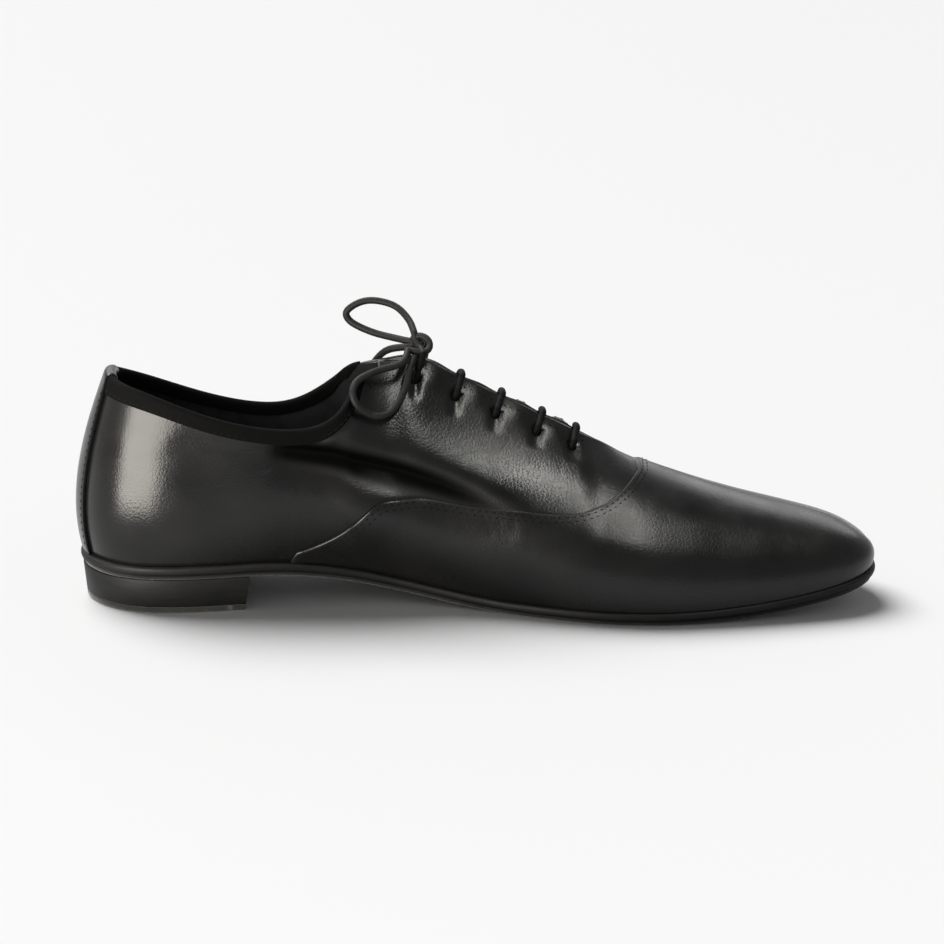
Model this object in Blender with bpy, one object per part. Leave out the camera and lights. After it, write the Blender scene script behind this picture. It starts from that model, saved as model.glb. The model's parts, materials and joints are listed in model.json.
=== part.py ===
"""Dance oxford, left shoe: a low lace-up of soft black leather on a thin suede sole with a low heel.

The upper is one hollow shell, lofted round the last from the edge of the sole to the collar, the lacing
edges and the ridge of the toe. The backstay, the collar bands, the tongue, the insole, the sole and the
heel are worked out from the same outline and the same walls.

Frame: +X to the toe, +Y to the outer side of the foot, +Z up. The origin is on the floor, under the
middle of the heel. Sizes and tables are in millimetres, and the meshes are made in metres.
"""

import math
from collections import namedtuple

import bmesh
import bpy
import numpy as np

MM = 0.001

# Driving sizes
SOLE_LENGTH = 292.0
HEEL_TO_ORIGIN = 30.0
HEEL_LENGTH = 62.0
HEEL_HEIGHT = 12.6
BREAST_HOLLOW = 3.0
TOP_PIECE = 2.0
SUEDE = 1.3
SOLE_BOARD = 3.0
TOE_SPRING = 10.0
TREAD_START = 158.0
TREAD_END = 204.0
TOE_SPRING_POWER = 1.9
WALL = 1.8
VAMP_LAP = 0.9
OVERLAY = 0.9
INSOLE = 2.4
TONGUE = 1.8
LACE = 2.6
GAP = 0.3

# How far each layer stands in from the edge of the sole
SUEDE_INSET = 1.2
BOARD_ROUND = 0.5
UPPER_INSET = 2.0
INSOLE_INSET = UPPER_INSET + WALL + 0.8
HEEL_INSET_TOP = 0.8
HEEL_INSET_FLOOR = 2.2

# Faces: stations of the upper between two rows of its table, and rows of faces up its wall
STEPS_PER_ROW = 3
VAMP_FACES = 6
QUARTER_FACES = 7
SOLE_STATIONS = 44
HEEL_ARC_STEPS = 22
BREAST_STEPS = 8

# Edge of the sole from the shoe's axis, at equal turns of the station angle from heel to toe
Edge = namedtuple("Edge", "medial lateral")
OUTLINE = (
    Edge(0.0, 0.0),
    Edge(17.6, 17.9),
    Edge(29.6, 29.4),
    Edge(31.2, 31.8),
    Edge(25.6, 31.0),
    Edge(22.2, 35.0),
    Edge(33.4, 49.6),
    Edge(49.4, 49.6),
    Edge(51.6, 41.5),
    Edge(47.2, 32.0),
    Edge(40.8, 19.5),
    Edge(30.5, 5.2),
    Edge(14.5, -14.5),
)

# Walls of the upper from heel to toe, one row for each section:
# foot        where the wall leaves the sole, from the back of the sole
# top_x top_m top_l  where it ends, and how high on the inner and the outer side: the collar, the lacing edge
#             or the ridge of the toe
# ridge       how far the middle of the top lies to the outer side
# half_gap    half the opening there
# lean_m lean_l  how far the wall leans out at its foot, inner and outer side, in degrees
# foot_pull top_pull  how far the wall keeps its direction at foot and top, as a share of its height
# top_slope   how steep the wall arrives at its top, in degrees
# seam        how far up the wall the edge of the vamp runs, as a share
Wall = namedtuple(
    "Wall", "foot top_x top_m top_l ridge half_gap lean_m lean_l foot_pull top_slope top_pull seam"
)
HEEL_BACK = Wall(0, 10.6, 81.8, 81.8, 0.0, 0.0, 16, 16, 0.33, 70, 0.34, 0.0)
HEEL_TURN = Wall(7, 13.8, 80.0, 79.4, 0.0, 13.5, 16, 16, 0.33, 75, 0.34, 0.0)
HEEL_SIDE = Wall(25, 27.5, 76.2, 73.4, 0.0, 23.5, 16, 16, 0.33, 79, 0.34, 0.0)
QUARTER = Wall(48, 49, 69.0, 65.8, 0.3, 28.0, 18, 15, 0.33, 83, 0.34, 0.0)
ANKLE = Wall(70, 72, 65.2, 62.6, 0.8, 29.4, 26, 17, 0.34, 84, 0.34, 0.0)
ANKLE_FRONT = Wall(88, 87, 67.4, 68.2, 1.0, 28.4, 34, 20, 0.36, 78, 0.36, 0.22)
FACING_RISE = Wall(101, 95.5, 74.4, 75.6, 1.0, 24.0, 38, 24, 0.38, 66, 0.36, 0.38)
FACING_CORNER = Wall(111, 102, 82.0, 82.0, 1.0, 14.2, 38, 26, 0.40, 52, 0.36, 0.41)
FACING_BACK = Wall(119, 112, 85.3, 85.6, 0.9, 7.0, 37, 27, 0.40, 44, 0.36, 0.40)
FACING_TOP = Wall(128, 122, 87.2, 87.2, 0.6, 2.8, 35, 27, 0.40, 40, 0.36, 0.40)
FACING_UPPER = Wall(142, 137, 80.8, 80.8, -0.2, 1.8, 31, 27, 0.40, 36, 0.38, 0.42)
FACING_LOWER = Wall(161, 159, 70.7, 70.7, -1.6, 1.6, 26, 25, 0.42, 32, 0.40, 0.45)
THROAT = Wall(183, 182, 60.1, 60.1, -3.4, 1.3, 20, 22, 0.42, 26, 0.42, 0.47)
VAMP_POINT = Wall(201, 201, 52.0, 52.0, -5.0, 0.4, 17, 19, 0.42, 18, 0.44, 0.73)
BALL = Wall(219, 219, 45.2, 45.2, -6.5, 0.0, 14, 16, 0.42, 11, 0.46, 1.6)
TOE_BOX = Wall(243, 242, 38.0, 38.0, -9.0, 0.0, 13, 14, 0.42, 6, 0.48, 1.2)
TOE = Wall(265, 262, 33.0, 33.0, -11.2, 0.0, 13, 13, 0.42, 4, 0.50, 1.2)
TOE_CAP = Wall(282, 276.5, 28.8, 28.8, -13.2, 0.0, 14, 14, 0.42, 2, 0.50, 1.2)
TIP = Wall(292, 283, 25.6, 25.6, -14.2, 0.0, 16, 16, 0.42, 2, 0.50, 1.2)
WALLS = (
    HEEL_BACK, HEEL_TURN, HEEL_SIDE, QUARTER, ANKLE, ANKLE_FRONT, FACING_RISE, FACING_CORNER, FACING_BACK,
    FACING_TOP, FACING_UPPER, FACING_LOWER, THROAT, VAMP_POINT, BALL, TOE_BOX, TOE, TOE_CAP, TIP,
)
LAST_ROW = len(WALLS) - 1
THROAT_END = WALLS.index(THROAT) + 1.0 / STEPS_PER_ROW
SHORTEST_LAP = 0.09
SMALLEST_HALF_GAP = 0.7

# Overlays on the upper, in rows of its table and shares of its wall
BACKSTAY_HALF_ROWS = 0.62
COLLAR_BAND_END = WALLS.index(FACING_CORNER)
COLLAR_BAND_START = 0.93
COLLAR_BAND_STATIONS = 22
OVERLAY_FACES = 8

# Lacing: rows of the upper's table at which the bars cross, and how far up the wall they come out
LACE_ROWS = (9.05, 10.05, 10.74, 11.37, 11.92)
EYELET_SHARE = 0.90
EYELET_RADIUS = 1.7
EYELET_SIDES = 12
BAR_POINTS_A_SIDE = 5
CORD_SIDES = 2

# Tongue from its top to its end, under the wall: the row of the upper's table it is worked out from, and the
# share of the wall its sides reach down to
Tongue = namedtuple("Tongue", "row low_share")
TONGUE_ROWS = (
    Tongue(7.70, 0.955),
    Tongue(7.85, 0.91),
    Tongue(8.20, 0.85),
    Tongue(8.70, 0.77),
    Tongue(9.30, 0.71),
    Tongue(9.80, 0.68),
    Tongue(10.5, 0.66),
    Tongue(11.2, 0.66),
    Tongue(11.9, 0.67),
    Tongue(12.6, 0.70),
)
TONGUE_FACES = 6
TONGUE_CLEAR = 0.6
TONGUE_MIDDLE = 0.4
TONGUE_CROWN = 0.4

# The bow, as points from the back of the sole: x, y, z
Point = namedtuple("Point", "x y z")
KNOT = Point(122.8, -0.4, 91.3)
KNOT_RADII = Point(4.2, 4.2, 3.0)
LEAD_POINTS_ON_WALL = 2
LEAD_LIFT = (Point(122.2, 7.9, 85.2), Point(123.2, 7.2, 87.6), Point(123.6, 6.0, 89.7))
LOOP_UPRIGHT = (
    Point(121.0, 1.4, 95.7),
    Point(120.4, 4.4, 97.6),
    Point(119.1, 8.0, 99.9),
    Point(115.8, 12.0, 103.0),
    Point(111.2, 14.6, 104.7),
    Point(106.2, 16.4, 105.1),
    Point(101.5, 17.6, 103.9),
    Point(97.8, 18.2, 101.3),
    Point(97.2, 18.4, 99.1),
    Point(98.8, 18.0, 96.9),
    Point(102.4, 16.0, 95.1),
    Point(107.4, 13.0, 93.6),
    Point(112.7, 9.0, 92.9),
    Point(117.6, 4.4, 92.6),
)
LOOP_DROOPING = (
    Point(118.4, -3.8, 90.6),
    Point(115.4, -12.0, 87.4),
    Point(108.4, -14.6, 85.8),
    Point(102.7, -17.4, 84.2),
    Point(99.2, -19.2, 82.4),
    Point(97.6, -21.4, 79.9),
    Point(97.7, -23.4, 77.0),
    Point(99.9, -24.0, 73.7),
    Point(103.4, -22.9, 71.3),
    Point(106.8, -22.4, 70.4),
    Point(110.5, -20.9, 71.1),
    Point(113.4, -18.8, 73.5),
    Point(115.5, -16.6, 76.5),
    Point(116.9, -14.7, 79.5),
    Point(117.8, -12.6, 82.5),
    Point(118.6, -10.4, 85.4),
    Point(120.4, -6.2, 88.0),
)
END_BACK = (
    Point(118.0, 0.6, 90.8),
    Point(114.6, 4.0, 89.8),
    Point(111.2, 7.6, 88.0),
)
END_LATERAL = (
    Point(123.6, 8.6, 91.8),
    Point(126.0, 9.4, 89.4),
)

# Where the two ends lie on the outer wall: station of the upper's table and share of the wall
OnWall = namedtuple("OnWall", "station share")
END_BACK_ON_WALL = (
    OnWall(-7.66, 0.975),
    OnWall(-7.56, 0.91),
    OnWall(-7.50, 0.84),
    OnWall(-7.47, 0.77),
    OnWall(-7.48, 0.70),
)
END_LATERAL_ON_WALL = (
    OnWall(-9.36, 0.90),
    OnWall(-9.42, 0.82),
    OnWall(-9.44, 0.74),
    OnWall(-9.42, 0.66),
    OnWall(-9.36, 0.58),
    OnWall(-9.28, 0.51),
)
LACE_LIE = 0.9
CORD_STEPS = 2


def batten(controls, at):
    """A smooth run past the control values of a column, like a draughtsman's batten."""
    row = min(int(at), len(controls) - 4)
    f = at - row
    weights = ((1 - f) ** 3, 3 * f**3 - 6 * f**2 + 4, 1 + 3 * f + 3 * f**2 - 3 * f**3, f**3)
    return sum(w * controls[row + i] for i, w in enumerate(weights)) / 6


def controls_through(values, turned=False):
    """Control values of a run through a column's values. Past both ends the column runs back on itself, or
    on with its sign turned."""
    count = len(values)
    matrix = 4 * np.eye(count) + np.eye(count, k=1) + np.eye(count, k=-1)
    matrix[0, :2] = (6, 0) if turned else (4, 2)
    matrix[-1, -2:] = (0, 6) if turned else (2, 4)
    inside = np.linalg.solve(matrix / 6, values)
    if turned:
        return [2 * inside[0] - inside[1], *inside, 2 * inside[-1] - inside[-2]]
    return [inside[1], *inside, inside[-2]]


def controls_round(values):
    """Control values of a closed run through values round a loop."""
    count = len(values)
    matrix = 4 * np.eye(count) + np.roll(np.eye(count), 1, axis=1) + np.roll(np.eye(count), -1, axis=1)
    inside = np.linalg.solve(matrix / 6, values)
    return [inside[-1], *inside, inside[0], inside[1]]


OUTLINE_STEPS = len(OUTLINE) - 1
OUTLINE_CONTROLS = controls_round([-e.medial for e in OUTLINE] + [e.lateral for e in OUTLINE[-2:0:-1]])


def station_angle(x):
    return math.acos(max(-1.0, min(1.0, 1 - 2 * x / SOLE_LENGTH)))


WALL_COLUMNS = {name: controls_through([getattr(w, name) for w in WALLS]) for name in Wall._fields}
WALL_COLUMNS["foot"] = controls_through([station_angle(w.foot) for w in WALLS], turned=True)
WALL_COLUMNS["half_gap"] = controls_through([w.half_gap for w in WALLS], turned=True)
WALL_COLUMNS["seam"] = [WALLS[1].seam, *(w.seam for w in WALLS), WALLS[-2].seam]


def edge_at(turn):
    """A point on the edge of the sole. The turn runs from 0 at the back of the heel to half a turn at the
    toe, along the inner side, and below 0 along the outer side."""
    y = batten(OUTLINE_CONTROLS, turn % (2 * math.pi) / math.pi * OUTLINE_STEPS)
    return np.array([SOLE_LENGTH / 2 * (1 - math.cos(turn)), y])


def rim(turn, inset=0.0):
    """A point in from the edge of the sole, and the way out from it."""
    step = 0.01
    along = edge_at(turn + step) - edge_at(turn - step)
    out = np.array([along[1], -along[0]])
    out = out / np.linalg.norm(out)
    return edge_at(turn) - inset * out, out


def sole_bottom(x):
    """Height of the tread: level under the heel, down through the waist, flat at the ball, up at the toe."""
    if x > TREAD_END:
        return TOE_SPRING * ((x - TREAD_END) / (SOLE_LENGTH - TREAD_END)) ** TOE_SPRING_POWER
    share = max(0.0, min(1.0, (TREAD_START - x) / (TREAD_START - HEEL_LENGTH)))
    return HEEL_HEIGHT * share**2 * (3 - 2 * share)


def sole_top(x):
    return sole_bottom(x) + SUEDE + GAP + SOLE_BOARD


def half_gap_at(row):
    if row >= THROAT_END:
        return 0.0
    gap = batten(WALL_COLUMNS["half_gap"], row)
    return gap if row < WALLS.index(FACING_RISE) else max(gap, SMALLEST_HALF_GAP)


def top_at(row, side):
    """The top of a wall: side is 1 on the inner side of the shoe and -1 on the outer."""
    y = batten(WALL_COLUMNS["ridge"], row) - side * half_gap_at(row)
    height = batten(WALL_COLUMNS["top_m" if side > 0 else "top_l"], row)
    return np.array([batten(WALL_COLUMNS["top_x"], row), y, height])


def side_and_row(station):
    """Which side a station round the upper is on, and its row. The toe is at the last row, on either side."""
    station = math.remainder(station, 2 * LAST_ROW)
    return (1 if station >= 0 else -1), abs(station)


def wall_curve(station):
    """The four points that steer a wall's curve from the sole to its top."""
    side, row = side_and_row(station)
    columns = {name: batten(WALL_COLUMNS[name], row) for name in Wall._fields}
    place, out = rim(side * columns["foot"], UPPER_INSET)
    foot = np.array([*place, sole_top(place[0]) + GAP])
    out = np.array([*out, 0.0])
    top = top_at(row, side)
    reach = np.linalg.norm(top - foot)
    lean = math.radians(columns["lean_m"] if side > 0 else columns["lean_l"])
    slope = math.radians(columns["top_slope"])
    up = np.array([0.0, 0.0, 1.0])
    over = out
    if row > THROAT_END:
        along = top_at(min(row + 0.05, LAST_ROW), side) - top_at(row - 0.05, side)
        over = out + up * out[0] * along[2] / along[0]
    low = foot + reach * columns["foot_pull"] * (math.sin(lean) * out + math.cos(lean) * up)
    high = top + reach * columns["top_pull"] * (math.cos(slope) * over - math.sin(slope) * up)
    return foot, low, high, top


def wall(station, share):
    """A point on the outer face of the upper, a share of the way from the sole to its top."""
    foot, low, high, top = wall_curve(station)
    rest = 1 - share
    return rest**3 * foot + 3 * rest**2 * share * low + 3 * rest * share**2 * high + share**3 * top


def wall_normal(station, share):
    """The way out of the upper at a point on its wall."""
    side, row = side_and_row(station)
    if share <= 0:
        return np.array([*rim(side * batten(WALL_COLUMNS["foot"], row), UPPER_INSET)[1], 0.0])
    step = 0.02
    along = wall(station + step, share) - wall(station - step, share)
    if share >= 1 and row >= THROAT_END:
        along = top_at(min(row + step, LAST_ROW), 1) - top_at(row - step, 1)
        normal = np.array([-along[2], 0.0, along[0]])
    else:
        rise = wall(station, min(1.0, share + step)) - wall(station, share - step)
        normal = np.cross(along, rise)
    return normal / np.linalg.norm(normal)


def skin(station, share, out):
    """A point that stands out from the upper's wall."""
    return wall(station, share) + out * wall_normal(station, share)


def seam_at(station):
    """How far up its wall the edge of the vamp runs."""
    share = batten(WALL_COLUMNS["seam"], side_and_row(station)[1])
    if share < SHORTEST_LAP:
        return 0.0
    return 1.0 if share > 1 - SHORTEST_LAP else share


def shares_between(first, last, faces):
    return [first + (last - first) * i / faces for i in range(faces + 1)]


class Shape:
    """A mesh under way. Points are in millimetres from the back of the sole."""

    def __init__(self):
        self.mesh = bmesh.new()

    def vertex(self, point):
        x, y, z = point
        return self.mesh.verts.new(((x - HEEL_TO_ORIGIN) * MM, y * MM, z * MM))

    def line(self, points):
        return [self.vertex(p) for p in points]

    def face(self, *corners):
        if len({v.index if v.index >= 0 else id(v) for v in corners}) > 2:
            self.mesh.faces.new(corners)

    def strip(self, first, second):
        """Faces between two lines of vertices."""
        for i in range(len(first) - 1):
            self.face(first[i], second[i], second[i + 1], first[i + 1])

    def grid(self, lines, closed=False):
        for first, second in zip(lines, lines[1:] + (lines[:1] if closed else [])):
            self.strip(first, second)

    def loft(self, rings):
        """Faces through closed rings of points, with a face over each end."""
        lines = [self.line(r) for r in rings]
        for line in lines:
            line.append(line[0])
        self.grid(lines)
        self.mesh.faces.new(lines[0][:-1])
        self.mesh.faces.new(lines[-1][:-1][::-1])

    def finish(self, name, material, sharp=35.0):
        """Welds the mesh, faces it outwards and makes it an object of the shoe."""
        bmesh.ops.remove_doubles(self.mesh, verts=self.mesh.verts, dist=0.01 * MM)
        bmesh.ops.dissolve_degenerate(self.mesh, edges=self.mesh.edges, dist=0.005 * MM)
        bmesh.ops.recalc_face_normals(self.mesh, faces=self.mesh.faces)
        data = bpy.data.meshes.new(name)
        self.mesh.to_mesh(data)
        self.mesh.free()
        data.shade_smooth()
        data.set_sharp_from_angle(angle=math.radians(sharp))
        return add_object(name, data, material)


def add_object(name, data, material):
    obj = bpy.data.objects.new(name, data)
    if material is not None:
        data.materials.append(material)
    bpy.data.collections["dance_oxford"].objects.link(obj)
    return obj


def make_material(name, colour, roughness):
    material = bpy.data.materials.new(name)
    material.use_nodes = True
    shader = material.node_tree.nodes["Principled BSDF"]
    shader.inputs["Base Color"].default_value = (*colour, 1.0)
    shader.inputs["Roughness"].default_value = roughness
    shader.inputs["Metallic"].default_value = 0.0
    return material


def make_sole_layer(name, material, low, high, inset, rounding=0.0):
    """A layer of the sole: sections across the shoe between two heights above the tread."""
    shape = Shape()
    rings = []
    for i in range(SOLE_STATIONS + 1):
        turn = math.pi * i / SOLE_STATIONS
        inner, _ = rim(turn, inset)
        outer, _ = rim(-turn, inset)
        inner_low, _ = rim(turn, inset + rounding)
        outer_low, _ = rim(-turn, inset + rounding)
        middle = (low + high) / 2
        corners = [
            (inner_low, low), (inner, middle), (inner_low, high),
            (outer_low, high), (outer, middle), (outer_low, low),
        ]
        if not rounding:
            corners = [corners[0], corners[2], corners[3], corners[5]]
        rings.append([(*place, sole_bottom(place[0]) + height) for place, height in corners])
    shape.loft(rings)
    return shape.finish(name, material, sharp=50.0)


def heel_outline(inset):
    """Points round the heel at one level: the edge of the sole, and a hollow breast across the front."""
    breast = HEEL_LENGTH - inset
    turn = station_angle(breast)
    side = [rim(turn * (1 - 2 * i / HEEL_ARC_STEPS), inset)[0] for i in range(HEEL_ARC_STEPS + 1)]
    first, last = side[-1], side[0]
    across = []
    for i in range(1, BREAST_STEPS):
        share = i / BREAST_STEPS
        point = first + (last - first) * share
        across.append((point[0] - BREAST_HOLLOW * math.sin(math.pi * share), point[1]))
    return [tuple(p) for p in side] + across


def make_heel_piece(name, material, low, high):
    shape = Shape()
    rings = []
    for height in (low, high):
        share = height / HEEL_HEIGHT
        inset = HEEL_INSET_FLOOR + (HEEL_INSET_TOP - HEEL_INSET_FLOOR) * share
        rings.append([(x, y, height) for x, y in heel_outline(inset)])
    shape.loft(rings)
    return shape.finish(name, material)


def upper_stations():
    count = LAST_ROW * STEPS_PER_ROW
    return [i / STEPS_PER_ROW for i in range(-count + 1, count + 1)]


def make_upper(material):
    """The hollow upper: outer face with the vamp lapped over the quarters, inner face, and the edges."""
    shape = Shape()
    outer, inner = [], []
    stations = upper_stations()
    for station in stations:
        seam = seam_at(station)
        vamp = shares_between(0.0, seam, VAMP_FACES)
        quarter = shares_between(seam, 1.0, QUARTER_FACES)
        lap = VAMP_LAP if seam > 0 else 0.0
        rest = VAMP_LAP if seam >= 1 else 0.0
        outer.append(
            shape.line([skin(station, v, lap) for v in vamp] + [skin(station, v, rest) for v in quarter])
        )
        inner.append(shape.line([skin(station, v, -WALL) for v in vamp + quarter[1:]]))
    shape.grid(outer, closed=True)
    shape.grid(inner, closed=True)
    for i, station in enumerate(stations):
        j = (i + 1) % len(stations)
        shape.face(outer[i][0], outer[j][0], inner[j][0], inner[i][0])
        rows = side_and_row(station)[1], side_and_row(stations[j])[1]
        if min(rows) < THROAT_END:
            shape.face(outer[i][-1], outer[j][-1], inner[j][-1], inner[i][-1])
    return shape.finish("upper", material, sharp=50.0)


def punch_eyelets(upper):
    """Cuts the lace holes through the wall of the upper."""
    shape = Shape()
    for row in LACE_ROWS:
        for station in (row, -row):
            normal = wall_normal(station, EYELET_SHARE)
            across = np.cross(normal, (1.0, 0.0, 0.0))
            across = across / np.linalg.norm(across)
            along = np.cross(across, normal)
            rings = []
            for depth in (-3 * WALL, 2 * WALL):
                middle = skin(station, EYELET_SHARE, depth)
                turns = [2 * math.pi * i / EYELET_SIDES for i in range(EYELET_SIDES)]
                rings.append([
                    middle + EYELET_RADIUS * (math.cos(t) * along + math.sin(t) * across) for t in turns
                ])
            shape.loft(rings)
    punches = shape.finish("eyelet_punches", None)
    bpy.data.collections["dance_oxford"].objects.unlink(punches)
    bpy.data.collections["cutters"].objects.link(punches)
    punches.hide_render = True
    punches.display_type = "WIRE"
    cut = upper.modifiers.new("eyelets", "BOOLEAN")
    cut.operation = "DIFFERENCE"
    cut.solver = "EXACT"
    cut.object = punches


def make_overlay(name, material, lines):
    """A thin piece on the upper: lines of (station, share of the wall), each run from edge to edge."""
    shape = Shape()
    shape.loft([
        [skin(*p, GAP + OVERLAY) for p in line] + [skin(*p, GAP) for p in reversed(line)]
        for line in lines
    ])
    return shape.finish(name, material)


def make_backstay(material):
    lines = []
    for share in shares_between(0.0, 1.0, OVERLAY_FACES):
        lines.append([
            (BACKSTAY_HALF_ROWS * (2 * i / OVERLAY_FACES - 1), share) for i in range(OVERLAY_FACES + 1)
        ])
    return make_overlay("backstay", material, lines)


def make_collar_band(name, material, side):
    lines = []
    start = BACKSTAY_HALF_ROWS + 0.02
    for i in range(COLLAR_BAND_STATIONS + 1):
        row = start + (COLLAR_BAND_END - start) * i / COLLAR_BAND_STATIONS
        lines.append([(side * row, share) for share in (COLLAR_BAND_START, 1.0)])
    return make_overlay(name, material, lines)


def tongue_line(tongue, depth):
    """Points across the tongue at a depth under the face of the upper, crowned between the lacing edges."""
    middle = batten(WALL_COLUMNS["ridge"], tongue.row)
    shares = shares_between(tongue.low_share, 1.0, TONGUE_FACES)
    sides = []
    for side in (1, -1):
        points = [skin(side * tongue.row, v, -depth) for v in shares]
        for point in points:
            point[1] = middle - side * max(side * (middle - point[1]), TONGUE_MIDDLE)
        sides.append(points)
    edges = sides[0][-1], sides[1][-1]
    crown = (edges[0] + edges[1]) / 2
    crown[2] += TONGUE_CROWN * (edges[1][1] - edges[0][1]) / 2
    return [*sides[0], crown, *reversed(sides[1])]


def make_tongue(material):
    """The tongue: sections from its free top to its end under the vamp."""
    shape = Shape()
    face = WALL + TONGUE_CLEAR
    shape.loft([tongue_line(t, face) + tongue_line(t, face + TONGUE)[::-1] for t in TONGUE_ROWS])
    return shape.finish("tongue", material)


def make_cord(name, material, points):
    """A round cord along a smooth run through its points, closed at both ends."""
    curve = bpy.data.curves.new(name, "CURVE")
    curve.dimensions = "3D"
    curve.bevel_depth = LACE / 2 * MM
    curve.bevel_resolution = CORD_SIDES
    curve.use_fill_caps = True
    spline = curve.splines.new("POLY")
    spline.points.add(len(points) - 1)
    for target, (x, y, z) in zip(spline.points, points):
        target.co = ((x - HEEL_TO_ORIGIN) * MM, y * MM, z * MM, 1.0)
    return add_object(name, curve, material)


def smooth_route(points):
    """Points along a smooth run through the given ones."""
    columns = [controls_through([p[k] for p in points], turned=True) for k in range(3)]
    count = (len(points) - 1) * CORD_STEPS
    return [[batten(c, i / CORD_STEPS) for c in columns] for i in range(count + 1)]


def lace_on_wall(row):
    """Points of the lace from the eyelet of a row up to the lacing edge, clear of the leather."""
    return [skin(row, v, LACE / 2 + GAP) for v in shares_between(EYELET_SHARE, 1.0, BAR_POINTS_A_SIDE)]


def make_lace_bar(number, row, material):
    """One bar of the lace, from eyelet to eyelet over the lacing edges."""
    return make_cord(f"lace_bar_{number}", material, lace_on_wall(row) + lace_on_wall(-row)[::-1])


def make_lace_lead(name, material, side):
    """The lace from a top eyelet up to the knot."""
    on_wall = lace_on_wall(side * LACE_ROWS[0])[:LEAD_POINTS_ON_WALL]
    lift = [(p.x, -side * p.y, p.z) for p in LEAD_LIFT]
    return make_cord(name, material, smooth_route(on_wall + lift))


def lying_on_wall(places):
    return tuple(skin(p.station, p.share, LACE / 2 + LACE_LIE) for p in places)


def make_knot(material):
    bpy.ops.mesh.primitive_uv_sphere_add(segments=16, ring_count=8, radius=1.0)
    knot = bpy.context.object
    knot.name = "lace_knot"
    knot.data.name = "lace_knot"
    for vertex in knot.data.vertices:
        vertex.co = [
            (k - origin + c * r) * MM
            for k, origin, c, r in zip(KNOT, (HEEL_TO_ORIGIN, 0, 0), vertex.co, KNOT_RADII)
        ]
    knot.data.materials.append(material)
    knot.data.shade_smooth()
    for collection in list(knot.users_collection):
        collection.objects.unlink(knot)
    bpy.data.collections["dance_oxford"].objects.link(knot)
    return knot


def build():
    for obj in list(bpy.data.objects):
        bpy.data.objects.remove(obj)
    for name in ("dance_oxford", "cutters"):
        bpy.context.scene.collection.children.link(bpy.data.collections.new(name))

    leather = make_material("black_leather", (0.018, 0.018, 0.018), 0.38)
    band = make_material("collar_band", (0.010, 0.010, 0.010), 0.60)
    lining = make_material("black_lining", (0.008, 0.008, 0.009), 0.80)
    suede = make_material("black_suede", (0.006, 0.006, 0.006), 0.95)
    edge = make_material("sole_edge", (0.010, 0.010, 0.011), 0.32)
    cord = make_material("waxed_lace", (0.012, 0.012, 0.012), 0.55)

    board_low = SUEDE + GAP
    make_sole_layer("suede_outsole", suede, 0.0, SUEDE, SUEDE_INSET)
    make_sole_layer("sole_board", edge, board_low, board_low + SOLE_BOARD, 0.0, BOARD_ROUND)
    insole_low = board_low + SOLE_BOARD + GAP
    make_sole_layer("insole", lining, insole_low, insole_low + INSOLE, INSOLE_INSET)
    make_heel_piece("heel_top_piece", suede, 0.0, TOP_PIECE)
    make_heel_piece("heel_block", edge, TOP_PIECE + GAP, HEEL_HEIGHT - GAP)

    punch_eyelets(make_upper(leather))
    make_backstay(leather)
    make_collar_band("collar_band_medial", band, 1)
    make_collar_band("collar_band_lateral", band, -1)
    make_tongue(leather)

    make_lace_lead("lace_lead_medial", cord, 1)
    make_lace_lead("lace_lead_lateral", cord, -1)
    for number, row in enumerate(LACE_ROWS[1:], 1):
        make_lace_bar(number, row, cord)
    make_knot(cord)
    make_cord("lace_loop_upright", cord, smooth_route(LOOP_UPRIGHT))
    make_cord("lace_loop_drooping", cord, smooth_route(LOOP_DROOPING))
    make_cord("lace_end_back", cord, smooth_route(END_BACK + lying_on_wall(END_BACK_ON_WALL)))
    make_cord("lace_end_lateral", cord, smooth_route(END_LATERAL + lying_on_wall(END_LATERAL_ON_WALL)))


build()
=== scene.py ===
import json
import math

import bmesh
import bpy
import numpy as np
from mathutils import Matrix, Vector

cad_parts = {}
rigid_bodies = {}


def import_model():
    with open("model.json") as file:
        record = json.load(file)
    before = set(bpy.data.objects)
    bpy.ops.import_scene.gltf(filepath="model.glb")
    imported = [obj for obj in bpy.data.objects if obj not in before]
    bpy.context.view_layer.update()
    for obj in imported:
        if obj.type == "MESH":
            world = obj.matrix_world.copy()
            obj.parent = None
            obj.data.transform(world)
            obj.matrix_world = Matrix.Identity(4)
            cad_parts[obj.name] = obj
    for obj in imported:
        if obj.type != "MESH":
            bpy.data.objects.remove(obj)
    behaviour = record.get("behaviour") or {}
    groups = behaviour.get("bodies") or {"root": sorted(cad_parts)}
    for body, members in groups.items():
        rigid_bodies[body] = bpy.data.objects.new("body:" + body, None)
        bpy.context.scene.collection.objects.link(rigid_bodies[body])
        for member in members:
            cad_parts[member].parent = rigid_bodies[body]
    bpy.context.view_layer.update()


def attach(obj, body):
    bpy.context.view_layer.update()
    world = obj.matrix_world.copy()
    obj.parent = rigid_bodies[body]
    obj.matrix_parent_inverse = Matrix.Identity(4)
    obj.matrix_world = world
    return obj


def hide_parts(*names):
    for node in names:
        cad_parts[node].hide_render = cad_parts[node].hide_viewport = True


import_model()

mm = 0.001

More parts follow.
